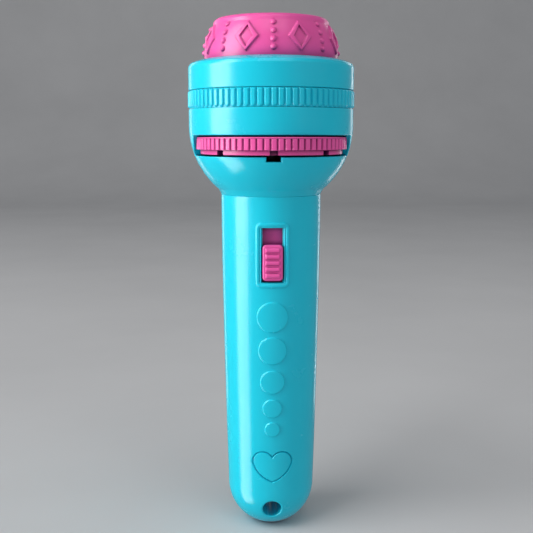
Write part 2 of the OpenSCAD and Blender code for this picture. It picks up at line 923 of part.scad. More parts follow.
module focus_guide_tube() {
    color(BLACK_PLASTIC)
    difference() {
        union() {
            intersection() {
                cup_filling(roof_top_z + 3);
                slab(slot_top_z, roof_top_z);
            }
            translate([0, 0, roof_top_z - EPS])
                cylinder(r = tube_r, h = tube_top_z - roof_top_z + EPS, $fn = ROUND);
        }
        translate([0, 0, roof_top_z]) cylinder(r = tube_inner_r, h = FAR, $fn = ROUND);
        translate([0, light_y, slot_top_z - 1]) cylinder(r = light_hole_r, h = 5, $fn = ROUND);
        // Upright slots that keep the pins from turning
        for (a = pin_angles)
            rotate(a)
                translate([tube_inner_r - 1, -pin_r - 0.06, pin_z - pin_r - 0.3])
                    cube([4, 2 * (pin_r + 0.06), focus_travel + 2 * pin_r + 0.6]);
    }
}

// One screw groove, as short straight cuts that climb against the ring's turn
module screw_groove() {
    rise = focus_travel / thread_steps;
    step_angle = focus_turn / thread_steps;
    step_length = 2 * sleeve_r * sin(step_angle / 2);
    climb = atan(rise / step_length);
    height = 2 * pin_r + 0.5;
    for (i = [-0.5 : thread_steps + 0.5])
        rotate(-i * step_angle)
            translate([sleeve_r - 0.5, 0, pin_z + i * rise])
                rotate([-climb, 0, 0])
                    cube([1.4, step_length + 0.5, height], center = true);
}

module focus_ring() {
    low_z = ring_z + 0.1;
    high_z = ring_top_z - 0.1;
    chamfer = 0.3;
    color(CYAN)
    difference() {
        union() {
            intersection() {
                translate([0, 0, low_z])
                    linear_extrude(high_z - low_z) grooved_circle(ring_r, ring_ribs, rib_groove);
                turned([
                    [0, low_z], [ring_r - chamfer, low_z], [ring_r + EPS, low_z + chamfer],
                    [ring_r + EPS, high_z - chamfer], [ring_r - chamfer, high_z], [0, high_z]
                ]);
            }
            translate([0, 0, sleeve_z]) cylinder(r = sleeve_r, h = high_z - sleeve_z, $fn = ROUND);
        }
        translate([0, 0, sleeve_z - 1]) cylinder(r = sleeve_inner_r, h = 20, $fn = ROUND);
        for (a = pin_angles)
            rotate(a) screw_groove();
    }
}

module head_collar() {
    wall_r = 20.3;
    color(CYAN)
    turned([
        [wall_r, ring_top_z], [head_r - band_chamfer, ring_top_z], [head_r, ring_top_z + band_chamfer],
        [head_r, 125.5], [21.6, 126.1], [21.1, 126.6], [20.1, 127.05], [18.1, 127.6],
        [tube_inner_r + 0.05, 127.65], [tube_inner_r + 0.05, tube_top_z], [wall_r, tube_top_z]
    ]);
}

// ---- Lens cap ----

// Outer radius of the cap at a height: a straight skirt, a long curve and a round rim
function cap_radius(z) =
    z <= cap_curve_z ? cap_r
    : z <= cap_rim_z ? cap_r - cap_curve_r + sqrt(pow(cap_curve_r, 2) - pow(z - cap_curve_z, 2))
    : cap_rim_x + sqrt(max(0, pow(cap_rim_r, 2) - pow(z - cap_rim_z, 2)));

// The cap's outer form, grown by the given amount
module cap_solid(grow) {
    curve_steps = 5;
    rim_steps = 3;
    turned(concat(
        [[0, cap_skirt_z], [cap_r + grow, cap_skirt_z]],
        [for (i = [0 : curve_steps])
            let (z = cap_curve_z + (cap_rim_z - cap_curve_z) * i / curve_steps)
            [cap_radius(z) + grow, z]],
        [for (i = [1 : rim_steps])
            let (a = 90 * i / rim_steps)
            [cap_rim_x + (cap_rim_r + grow) * cos(a), cap_rim_z + (cap_rim_r + grow) * sin(a)]],
        [[0, cap_top_z + grow]]
    ));
}

// The hollow under the cap's curved wall
module cap_hollow() {
    steps = 3;
    turned(concat(
        [[0, cap_skirt_z - 1], [cap_r - cap_skirt_wall, cap_skirt_z - 1]],
        [for (i = [0 : steps])
            let (z = cap_curve_z + (cap_roof_z - cap_curve_z) * i / steps)
            [cap_radius(z) - cap_skirt_wall, z]],
        [[0, cap_roof_z]]
    ));
}

module cap_beads() {
    for (i = [0 : cap_columns - 1], z = bead_heights)
        rotate(90 + i * 360 / cap_columns)
            translate([cap_radius(z) - 0.1, 0, z]) sphere(r = bead_r, $fn = FINE);
}

module cap_rhombs() {
    intersection() {
        for (i = [0 : cap_columns - 1], size = rhombs)
            rotate((i + 0.5) * 360 / cap_columns)
                rotate([90, 0, 90])
                    linear_extrude(FAR)
                        translate([0, rhomb_z])
                            difference() {
                                rhomb(size, 0);
                                rhomb(size, rhomb_line);
                            }
        cap_solid(rhomb_height);
        slab(rhomb_z - rhombs[0][1] / 2 - 1, cap_top_z - 0.7);
    }
}

// An upright rhombus of the given [width, height], its edges moved inwards by the inset
module rhomb(size, inset) {
    scale_in = 1 - inset / (size[0] * size[1] / (2 * norm(size)));
    polygon([
        [size[0] / 2 * scale_in, 0], [0, size[1] / 2 * scale_in],
        [-size[0] / 2 * scale_in, 0], [0, -size[1] / 2 * scale_in]
    ]);
}

module lens_cap() {
    color(PINK)
    difference() {
        union() {
            difference() {
                union() {
                    cap_solid(0);
                    cap_beads();
                    cap_rhombs();
                }
                cap_hollow();
            }
            // Tube that holds the lens under the roof
            translate([0, light_y, cap_roof_z - 4.6])
                cylinder(r = lens_tube_r, h = 4.6 + EPS, $fn = ROUND);
        }
        // Shallow dish in the top
        translate([0, 0, cap_dish_z]) cylinder(r = cap_dish_r, h = 5, $fn = ROUND);
        translate([0, light_y, cap_roof_z - 6]) cylinder(r = lens_seat_r, h = 6, $fn = ROUND);
        translate([0, light_y, cap_roof_z - 6]) cylinder(r = lens_opening_r, h = 12, $fn = ROUND);
        for (a = pin_angles)
            rotate(a)
                translate([cap_r - 3, 0, pin_z])
                    rotate([0, 90, 0])
                        cylinder(r = pin_r + 0.02, h = 4, $fn = FINE);
    }
}

module cap_guide_pins() {
    color(STEEL)
    for (a = pin_angles)
        rotate(a)
            translate([cap_r - cap_skirt_wall + 0.1, 0, pin_z])
                rotate([0, 90, 0])
                    cylinder(r = pin_r, h = 20.2 - cap_r + cap_skirt_wall - 0.1, $fn = FINE);
}

module projection_lens() {
    face_r = 14;
    edge_drop = face_r - sqrt(face_r * face_r - lens_r * lens_r);
    color(GLASS)
    translate([0, light_y, cap_roof_z - lens_t - 0.05])
        intersection() {
            cylinder(r = lens_r, h = lens_t, $fn = ROUND);
            translate([0, 0, lens_t + 0.05 - face_r + edge_drop - 0.3]) sphere(r = face_r, $fn = ROUND);
            translate([0, 0, face_r - 0.05 - edge_drop + 0.3]) sphere(r = face_r, $fn = ROUND);
        }
}

module lens_retainer() {
    color(BLACK_PLASTIC)
    translate([0, light_y, cap_roof_z - lens_t - 1.6])
        difference() {
            cylinder(r = lens_seat_r - 0.03, h = 1.4, $fn = ROUND);
            translate([0, 0, -1]) cylinder(r = lens_opening_r, h = 4, $fn = ROUND);
        }
}

// ---- The nodes ----

handle_front_shell();
handle_rear_shell();
case_screws();
battery_cover();
cover_screw();
battery_carrier();
button_cells();
negative_contact();
positive_contact();
switch_slider();
switch_contact_leaf();
switch_board();
contact_pads();
series_resistor();
board_screws();
battery_wire();
lamp_wire();
return_wire();
head_cup();
lamp_board();
led();
reflector();
condenser_lens();
disc_tray();
detent_spring();
disc_hub();
slide_disc_wheel();
picture_film();
film_cover();
focus_guide_tube();
focus_ring();
head_collar();
lens_cap();
cap_guide_pins();
projection_lens();
lens_retainer();
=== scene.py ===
"""The looks of a child's slide-projector torch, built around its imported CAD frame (Blender 4.5, metres)."""
import json
import math

import bmesh
import bpy
import numpy as np
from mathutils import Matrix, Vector


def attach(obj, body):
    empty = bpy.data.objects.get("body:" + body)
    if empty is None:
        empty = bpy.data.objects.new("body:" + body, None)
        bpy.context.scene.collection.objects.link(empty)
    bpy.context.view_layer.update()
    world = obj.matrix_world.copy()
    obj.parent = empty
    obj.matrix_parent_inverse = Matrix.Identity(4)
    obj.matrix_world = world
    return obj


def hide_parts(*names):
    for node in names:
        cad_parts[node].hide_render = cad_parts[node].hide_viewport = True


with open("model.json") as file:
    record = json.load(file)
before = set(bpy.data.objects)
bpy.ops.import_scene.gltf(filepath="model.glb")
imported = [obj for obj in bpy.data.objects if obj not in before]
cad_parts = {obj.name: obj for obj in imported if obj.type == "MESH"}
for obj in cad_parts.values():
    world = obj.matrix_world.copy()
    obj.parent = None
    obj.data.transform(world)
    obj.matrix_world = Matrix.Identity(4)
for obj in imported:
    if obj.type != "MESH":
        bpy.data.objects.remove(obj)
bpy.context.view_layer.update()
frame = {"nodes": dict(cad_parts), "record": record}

MM = 0.001

# ---- Sizes that the CAD part also has, in millimetres ----

NECK_Z, NECK_R = 92.6, 13.4
END_R, FOOT_R = 11.9, 3.4
END_Z = math.sqrt(END_R ** 2 - FOOT_R ** 2)
TAPER_POWER = 1.6
HANDLE_WALL = 1.6
REAR_SHELL_Z = 14.0
STRAP_Z, STRAP_R = 7.0, 2.6

WINDOW_W, WINDOW_H, WINDOW_Z = 5.9, 14.3, 70.4
WINDOW_TOP = WINDOW_Z + WINDOW_H
WINDOW_MID = WINDOW_Z + WINDOW_H / 2
FRAME_W, FRAME_H, FRAME_CORNER, FRAME_HEIGHT = 8.9, 17.1, 1.6, 0.42
POCKET_Y, POCKET_HALF_W, POCKET_Z, POCKET_TOP = -11.5, 4.7, 65.2, 90.0
KNOB_W, KNOB_H, KNOB_Z, KNOB_FRONT_Y, KNOB_RIDGE_PITCH = 5.3, 9.5, WINDOW_Z + 0.5, -13.7, 1.65
PLATE_W, PLATE_T, PLATE_Y, PLATE_Z, PLATE_TOP = 8.4, 0.9, -11.4, WINDOW_Z - 4.5, WINDOW_TOP + 0.7

CIRCLES = ((61.2, 4.15), (52.15, 3.8), (43.6, 3.3), (36.3, 2.65), (30.4, 2.1))     # (height, radius)
CIRCLE_HEIGHT = 0.4
HEART_Z, HEART_X, HEART_LOBE_R = 21.1, 2.5, 2.8
HEART_SIDE_R, HEART_ANGLE = 8.0, math.radians(22)

HEAD_R, CUP_Z, CUP_WALL = 21.85, 110.7, 1.6
SPIGOT_Z, SPIGOT_R, SPIGOT_BORE_R = 90.1, 11.6, 10.2
NECK_CONE_Z, NECK_CONE_R = 94.0, 14.08
SLEEVE_Z, SLEEVE_R, SLEEVE_INNER_R, WALL_INNER_R = 110.9, 20.4, 19.38, 20.6
SLOT_Z, SLOT_TOP, SLOT_HALF_W = 102.9, 108.2, 20.5
GROOVE_Z, GROOVE_HALF_W = 101.7, 1.9
RING_Z, RING_TOP, RING_R, RING_RIBS = 115.0, 119.8, 22.05, 80

DISC_OFFSET, DISC_R, DISC_RIBS = 2.75, 19.85, 72
FLANGE_Z, FLANGE_R, NOTCH_HALF_W, NOTCH_DEPTH = 103.35, 18.75, 1.05, 2.2
RIM_Z, RIM_TOP, RIM_INNER_R = 104.6, 107.8, 17.2
PICTURES, PICTURE_R, PICTURE_CIRCLE_R = 8, 3.2, 10.4
HUB_HOLE_R = 1.56
LIGHT_Y = PICTURE_CIRCLE_R - DISC_OFFSET

CAP_R, CAP_CURVE_Z, CAP_CURVE_R, CAP_RIM_R, CAP_TOP = 17.6, 128.7, 13.6, 1.65, 138.0
CAP_SKIRT_Z, CAP_WALL, CAP_DISH_R, CAP_DISH_Z, CAP_ROOF_Z = 111.0, 1.4, 11.9, CAP_TOP - 1.2, CAP_TOP - 3
CAP_COLUMNS = 8
BEAD_R, BEAD_HEIGHTS = 0.75, (129.5, 131.5, 133.55, 135.65)
RHOMB_Z, RHOMB_HEIGHT = 132.3, 0.5
RHOMB_OUTER, RHOMB_INNER = (6.5, 8.0), (3.2, 5.0)     # (width, height)
LENS_OPENING_R, LENS_SEAT_R, LENS_TUBE_R, LENS_TUBE_Z = 3.6, 4.75, 5.9, 130.8
RESISTOR_Z, RESISTOR_TOP = 72, 77


# ---- Mesh helpers ----

def new_object(name, data):
    obj = bpy.data.objects.new(name, data)
    bpy.context.scene.collection.objects.link(obj)
    return obj


def new_mesh(name, points, faces):
    """A mesh from points in millimetres."""
    mesh = bpy.data.meshes.new(name)
    mesh.from_pydata((np.asarray(points, float) * MM).tolist(), [], faces)
    return mesh


def make_object(name, points, faces, material, body, *nodes):
    """A smooth-shaded mesh object from points in millimetres, riding on a body in place of CAD nodes."""
    mesh = new_mesh(name, points, faces)
    mesh.validate()
    obj = new_object(name, mesh)
    obj.data.materials.append(MATERIALS[material])
    weld(obj)
    shade(mesh)
    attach(obj, body)
    if nodes:
        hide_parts(*nodes)
    return obj


def weld(obj):
    """Joins points that lie on each other, such as a pole's, and drops loose ones."""
    bm = bmesh.new()
    bm.from_mesh(obj.data)
    bmesh.ops.remove_doubles(bm, verts=bm.verts, dist=0.0005 * MM)
    loose = [v for v in bm.verts if not v.link_faces]
    bmesh.ops.delete(bm, geom=loose, context="VERTS")
    bm.to_mesh(obj.data)
    bm.free()


def shade(mesh, degrees=38):
    mesh.shade_smooth()
    mesh.set_sharp_from_angle(angle=math.radians(degrees))


def cut(obj, cutter_points, cutter_faces):
    """Subtracts a closed mesh from the object and applies the result."""
    cutter = new_object("cutter", new_mesh("cutter", cutter_points, cutter_faces))
    cutter.data.materials.append(obj.data.materials[0])
    weld(cutter)
    modifier = obj.modifiers.new("cut", "BOOLEAN")
    modifier.operation = "DIFFERENCE"
    modifier.solver = "MANIFOLD"
    modifier.object = cutter
    graph = bpy.context.evaluated_depsgraph_get()
    result = bpy.data.meshes.new_from_object(obj.evaluated_get(graph))
    obj.modifiers.remove(modifier)
    old = obj.data
    obj.data = result
    bpy.data.meshes.remove(old)
    bpy.data.objects.remove(cutter)
    while len(result.materials) > 1:
        result.materials.pop(index=len(result.materials) - 1)
    result.polygons.foreach_set("material_index", [0] * len(result.polygons))
    shade(obj.data)


def add_part(obj, part):
    """Adds a closed piece of the same moulding to an object's mesh."""
    bm = bmesh.new()
    bm.from_mesh(obj.data)
    points = [bm.verts.new(Vector(p) * MM) for p in np.asarray(part[0], float).tolist()]
    for face in part[1]:
        bm.faces.new([points[i] for i in face])
    bm.to_mesh(obj.data)
    bm.free()
    shade(obj.data)


def revolve(profile, steps, shape=None):
    """A closed surface of revolution about Z from (radius, height) points that run counter-clockwise.

    steps is a number of even steps or the list of angles, and shape(radii, heights, angles) may change the
    radii of the whole grid, profile point by angle."""
    profile = np.asarray(profile, float)
    angles = np.arange(steps) * 2 * math.pi / steps if np.isscalar(steps) else np.asarray(steps)
    count = len(angles)
    radii = np.repeat(profile[:, :1], count, axis=1)
    heights = np.repeat(profile[:, 1:2], count, axis=1)
    if shape:
        radii = shape(radii, heights, np.repeat(angles[None, :], len(profile), axis=0))
    points = np.stack([radii * np.cos(angles), radii * np.sin(angles), heights], axis=2).reshape(-1, 3)
    faces = []
    for i in range(len(profile)):
        low, high = i * count, (i + 1) % len(profile) * count
        for j in range(count):
            k = (j + 1) % count
            faces.append([low + j, low + k, high + k, high + j])
    return points, faces


def moved(part, offset):
    return np.asarray(part[0]) + np.asarray(offset, float), part[1]


def rounded(corners, steps=4):
    """A closed outline with arcs at its corners, from (radius, height, corner radius) points."""
    corners = [np.asarray(c, float) for c in corners]
    outline = []
    for i, corner in enumerate(corners):
        here, size = corner[:2], corner[2]
        back = corners[i - 1][:2] - here
        ahead = corners[(i + 1) % len(corners)][:2] - here
        back_length, ahead_length = np.hypot(*back), np.hypot(*ahead)
        back, ahead = back / back_length, ahead / ahead_length
        half = math.acos(max(-1.0, min(1.0, float(back @ ahead)))) / 2
        if size <= 0 or half > math.radians(88):
            outline.append(here)
            continue
        reach = min(size / math.tan(half), 0.49 * back_length, 0.49 * ahead_length)
        radius = reach * math.tan(half)
        middle = (back + ahead) / np.hypot(*(back + ahead))
        centre = here + middle * radius / math.sin(half)
        start, end = here + back * reach - centre, here + ahead * reach - centre
        turn = math.atan2(start[0] * end[1] - start[1] * end[0], float(start @ end))
        for k in range(steps + 1):
            a = turn * k / steps
            outline.append(centre + [start[0] * math.cos(a) - start[1] * math.sin(a),
                                     start[0] * math.sin(a) + start[1] * math.cos(a)])
    return outline


def grid_solid(outer, inner, present, closed, keep_rows, keep_cols):
    """A closed shell between a fine outer grid and the same grid's coarse inner side.

    outer and inner are (rows, columns, 3); present says which cells exist; keep_rows and keep_cols are the
    lines that the inner side keeps, and every opening's edge is among them."""
    rows, cols = outer.shape[:2]
    points = np.concatenate([outer.reshape(-1, 3), inner[np.ix_(keep_rows, keep_cols)].reshape(-1, 3)])
    base, width = rows * cols, len(keep_cols)
    faces = []
    i, j = np.nonzero(present)
    k = (j + 1) % cols
    faces.extend(np.stack([i * cols + j, i * cols + k, (i + 1) * cols + k, (i + 1) * cols + j], 1).tolist())
    strips = width if closed else width - 1

    def there(a, b):
        if not 0 <= a < len(keep_rows) - 1 or not (closed or 0 <= b < strips):
            return False
        return bool(present[keep_rows[a], keep_cols[b % strips]])

    for a in range(len(keep_rows) - 1):
        low, high = keep_rows[a], keep_rows[a + 1]
        up = list(range(low, high + 1))
        for b in range(strips):
            if not there(a, b):
                continue
            left, right = keep_cols[b], keep_cols[(b + 1) % width]
            along = list(range(left, right + 1 if right > left else right + cols + 1))
            b1 = (b + 1) % width
            in_ll, in_lr = base + a * width + b, base + a * width + b1
            in_hl, in_hr = base + (a + 1) * width + b, base + (a + 1) * width + b1
            faces.append([in_ll, in_hl, in_hr, in_lr])
            if not there(a - 1, b):
                faces.append([low * cols + c % cols for c in reversed(along)] + [in_ll, in_lr])
            if not there(a + 1, b):
                faces.append([high * cols + c % cols for c in along] + [in_hr, in_hl])
            if not there(a, b - 1):
                faces.append([r * cols + left for r in up] + [in_hl, in_ll])
            if not there(a, b + 1):
                faces.append([r * cols + right % cols for r in reversed(up)] + [in_lr, in_hr])
    return points, faces


def stretches(stops):
    """Values along a line from (start, end, step) stretches, with every start and end exact."""
    values = [stops[0][0]]
    for start, end, step in stops:
        count = max(1, round(abs(end - start) / step))
        values.extend(start + (end - start) * (i + 1) / count for i in range(count))
    return np.array(values)


def nearest(values, wanted):
    """Indices of the values nearest to the wanted ones, in order."""
    return sorted({int(np.argmin(np.abs(values - w))) for w in wanted})


def box_distance(x, z, half_w, half_h, corner=0.0):
    """Signed distance to a rectangle with round corners, negative inside."""
    qx, qz = np.abs(x) - (half_w - corner), np.abs(z) - (half_h - corner)
    outside = np.hypot(np.maximum(qx, 0), np.maximum(qz, 0))
    return outside + np.minimum(np.maximum(qx, qz), 0) - corner


def smooth_step(t):
    t = np.clip(t, 0, 1)
    return t * t * (3 - 2 * t)


def bead(s, half_w):
    """A round ridge's height, from 0 at its sides to 1 at its middle line."""
    return np.sqrt(np.clip(1 - (s / half_w) ** 2, 0, 1))


def lip(distance, radius):
    """How far a surface falls off towards an opening's edge with that edge radius."""
    d = np.clip(distance, 0, radius)
    return radius - np.sqrt(radius ** 2 - (radius - d) ** 2)


# ---- Materials ----

MATERIALS = {}


def new_material(slot):
    material = bpy.data.materials.new("look_" + slot)
    material.use_nodes = True
    tree = material.node_tree
    tree.nodes.clear()
    output = tree.nodes.new("ShaderNodeOutputMaterial")
    shader = tree.nodes.new("ShaderNodeBsdfPrincipled")
    tree.links.new(shader.outputs["BSDF"], output.inputs["Surface"])
    MATERIALS[slot] = material
    return tree, shader


def place(tree, scale=(1, 1, 1)):
    """Object coordinates, stretched by the given scale."""
    coordinates = tree.nodes.new("ShaderNodeTexCoord")
    mapping = tree.nodes.new("ShaderNodeMapping")
    mapping.inputs["Scale"].default_value = scale
    tree.links.new(coordinates.outputs["Object"], mapping.inputs["Vector"])
    return mapping.outputs["Vector"]


def noise(tree, where, scale, detail=3.0, rough=0.55):
    node = tree.nodes.new("ShaderNodeTexNoise")
    node.inputs["Scale"].default_value = scale
    node.inputs["Detail"].default_value = detail
    node.inputs["Roughness"].default_value = rough
    tree.links.new(where, node.inputs["Vector"])
    return node.outputs["Fac"]


def ramp(tree, value, low, high):
    """A two-stop ramp, each stop a (position, colour or grey) pair."""
    node = tree.nodes.new("ShaderNodeValToRGB")
    for element, (position, colour) in zip(node.color_ramp.elements, (low, high)):
        element.position = position
        element.color = (*colour, 1) if hasattr(colour, "__len__") else (colour, colour, colour, 1)
    tree.links.new(value, node.inputs["Fac"])
    return node.outputs["Color"]


def set_inputs(tree, pairs):
    """Links or sets each input of (value, input) pairs; a value is a socket, a colour or a number."""
    for value, socket in pairs:
        if isinstance(value, bpy.types.NodeSocket):
            tree.links.new(value, socket)
        elif hasattr(value, "__len__"):
            socket.default_value = (*value, 1)
        else:
            socket.default_value = value


def mix(tree, factor, a, b):
    """Colour mix from a to b; each is a socket or a colour, and the factor is a socket or a number."""
    node = tree.nodes.new("ShaderNodeMix")
    node.data_type = "RGBA"
    set_inputs(tree, ((factor, node.inputs["Factor"]), (a, node.inputs["A"]), (b, node.inputs["B"])))
    return node.outputs["Result"]


def calc(tree, operation, a, b=0.0):
    node = tree.nodes.new("ShaderNodeMath")
    node.operation = operation
    set_inputs(tree, ((a, node.inputs[0]), (b, node.inputs[1])))
    return node.outputs["Value"]


def bump(tree, shader, height, strength, distance_mm):
    node = tree.nodes.new("ShaderNodeBump")
    node.inputs["Strength"].default_value = strength
    node.inputs["Distance"].default_value = distance_mm * MM
    tree.links.new(height, node.inputs["Height"])
    tree.links.new(node.outputs["Normal"], shader.inputs["Normal"])


def set_surface(tree, shader, base, rough):
    tree.links.new(base, shader.inputs["Base Color"])
    tree.links.new(rough, shader.inputs["Roughness"])


def worn_edges(tree):
    """A mask of the convex edges, from the shape's own curvature."""
    geometry = tree.nodes.new("ShaderNodeNewGeometry")
    return ramp(tree, geometry.outputs["Pointiness"], (0.54, 0.0), (0.64, 1.0))


def paint_crevice_shade(tree, base, shadow, reach_mm, closed, open_from):
    """Painted shade: shifts the base colour to the shadow's colour where the shape closes in on itself, by
    ambient occlusion.
    """
    occlusion = tree.nodes.new("ShaderNodeAmbientOcclusion")
    occlusion.samples = 8
    occlusion.inputs["Distance"].default_value = reach_mm * MM
    openness = ramp(tree, occlusion.outputs["AO"], (closed, 0.0), (open_from, 1.0))
    return mix(tree, openness, shadow, base)


def moulded_plastic(slot, colour, deep, pale, roughness, grain, gloss,
                    shadow=(0, 0, 0), reach=(2, 0.05, 0.55)):
    """Injection-moulded plastic: mottling, flow lines, orange peel, rubbed edges, and painted shade that
    darkens its hollows.
    """
    tree, shader = new_material(slot)
    where = place(tree)
    mottle = ramp(tree, noise(tree, where, 55, 4), (0.3, 0.0), (0.72, 1.0))
    base = mix(tree, mottle, deep, colour)
    flow = ramp(tree, noise(tree, place(tree, (1, 1, 0.12)), 260, 2), (0.45, 0.0), (0.8, 1.0))
    base = mix(tree, calc(tree, "MULTIPLY", flow, 0.05), base, pale)
    edge = worn_edges(tree)
    base = mix(tree, calc(tree, "MULTIPLY", edge, 0.2), base, pale)
    # Painted shade: the colour turns towards the shadow colour in hollows and recesses
    base = paint_crevice_shade(tree, base, shadow, *reach)
    smudge = ramp(tree, noise(tree, where, 120, 5, 0.6), (0.35, roughness - 0.02), (0.7, roughness + 0.03))
    rough = calc(tree, "ADD", smudge, calc(tree, "MULTIPLY", edge, 0.05))
    set_surface(tree, shader, base, rough)
    peel = noise(tree, where, 420, 2, 0.5)
    fine = noise(tree, where, 3800, 2, 0.6)
    height = calc(tree, "ADD", calc(tree, "MULTIPLY", peel, 0.5), calc(tree, "MULTIPLY", fine, grain))
    bump(tree, shader, height, 0.3, 0.014)
    shader.inputs["IOR"].default_value = 1.48
    shader.inputs["Coat Weight"].default_value = gloss
    shader.inputs["Coat Roughness"].default_value = 0.09
    shader.inputs["Subsurface Weight"].default_value = 0.1
    bleed = (0.6, 1.0, 1.0) if colour[1] > colour[0] else (1.0, 0.4, 0.7)
    shader.inputs["Subsurface Radius"].default_value = bleed
    shader.inputs["Subsurface Scale"].default_value = 0.7 * MM


def metal(slot, colour, dark, roughness, line_scale):
    """Plated or bright metal with drawing lines, stains and a little tarnish."""
    tree, shader = new_material(slot)
    where = place(tree)
    tarnish = ramp(tree, noise(tree, where, 380, 5), (0.35, 0.0), (0.75, 1.0))
    lines = noise(tree, place(tree, line_scale), 1500, 2)
    rough = ramp(tree, lines, (0.3, roughness - 0.06), (0.7, roughness + 0.1))
    set_surface(tree, shader, mix(tree, tarnish, dark, colour), rough)
    bump(tree, shader, lines, 0.25, 0.01)
    shader.inputs["Metallic"].default_value = 1.0


def wire_insulation(slot, colour, dark):
    """Soft insulation, a little uneven in colour and sheen."""
    tree, shader = new_material(slot)
    where = place(tree)
    base = mix(tree, noise(tree, where, 300, 4), dark, colour)
    set_surface(tree, shader, base, ramp(tree, noise(tree, where, 900), (0.3, 0.38), (0.7, 0.52)))
    bump(tree, shader, noise(tree, where, 2500), 0.3, 0.015)


def circuit_board(slot):
    """Green solder mask over a woven laminate, with copper tracks showing through."""
    tree, shader = new_material(slot)
    where = place(tree)
    brick = tree.nodes.new("ShaderNodeTexBrick")
    brick.inputs["Scale"].default_value = 260
    brick.inputs["Mortar Size"].default_value = 0.035
    brick.inputs["Color1"].default_value = (0.012, 0.13, 0.045, 1)
    brick.inputs["Color2"].default_value = (0.015, 0.16, 0.055, 1)
    brick.inputs["Mortar"].default_value = (0.03, 0.3, 0.1, 1)
    tree.links.new(place(tree, (1, 0.02, 1)), brick.inputs["Vector"])
    weave = noise(tree, where, 2200, 2)
    base = mix(tree, calc(tree, "MULTIPLY", weave, 0.3), brick.outputs["Color"], (0.02, 0.2, 0.07))
    set_surface(tree, shader, base, ramp(tree, weave, (0.3, 0.25), (0.7, 0.4)))
    bump(tree, shader, weave, 0.3, 0.02)


def resistor_lacquer(slot):
    """Tan lacquer with four colour bands along the body."""
    tree, shader = new_material(slot)
    separate = tree.nodes.new("ShaderNodeSeparateXYZ")
    tree.links.new(place(tree), separate.inputs["Vector"])
    base = mix(tree, noise(tree, place(tree), 500), (0.55, 0.38, 0.2), (0.66, 0.5, 0.3))
    band_half_w = 0.25
    bands = (   # (share of the body's length, colour)
        (0.15, (0.45, 0.1, 0.02)), (0.35, (0.02, 0.02, 0.02)),
        (0.55, (0.6, 0.05, 0.03)), (0.82, (0.7, 0.5, 0.1)),
    )
    for share, colour in bands:
        middle = (RESISTOR_Z + (RESISTOR_TOP - RESISTOR_Z) * share) * MM
        offset = calc(tree, "ABSOLUTE", calc(tree, "SUBTRACT", separate.outputs["Z"], middle))
        base = mix(tree, calc(tree, "LESS_THAN", offset, band_half_w * MM), base, colour)
    set_surface(tree, shader, base, ramp(tree, noise(tree, place(tree), 900), (0.3, 0.25), (0.7, 0.4)))
    bump(tree, shader, noise(tree, place(tree), 1200), 0.3, 0.02)


def lamp_phosphor(slot):
    """The LED's grainy yellow resin."""
    tree, shader = new_material(slot)
    grains = noise(tree, place(tree), 2600, 4)
    base = mix(tree, grains, (0.75, 0.55, 0.08), (0.95, 0.82, 0.3))
    set_surface(tree, shader, base, ramp(tree, grains, (0.3, 0.2), (0.7, 0.34)))
    bump(tree, shader, grains, 0.2, 0.01)
    shader.inputs["Subsurface Weight"].default_value = 0.3
    shader.inputs["Subsurface Scale"].default_value = 0.5 * MM


def clear_plastic(slot):
    """A moulded clear lens with faint smears."""
    tree, shader = new_material(slot)
    smears = noise(tree, place(tree, (1, 3, 1)), 220, 4)
    base = mix(tree, smears, (0.95, 0.98, 0.99), (0.98, 0.99, 1.0))
    set_surface(tree, shader, base, ramp(tree, smears, (0.4, 0.02), (0.8, 0.09)))
    bump(tree, shader, smears, 0.05, 0.01)
    shader.inputs["Transmission Weight"].default_value = 1.0
    shader.inputs["IOR"].default_value = 1.49


def squares_sum(tree, a, b):
    return calc(tree, "ADD", calc(tree, "MULTIPLY", a, a), calc(tree, "MULTIPLY", b, b))


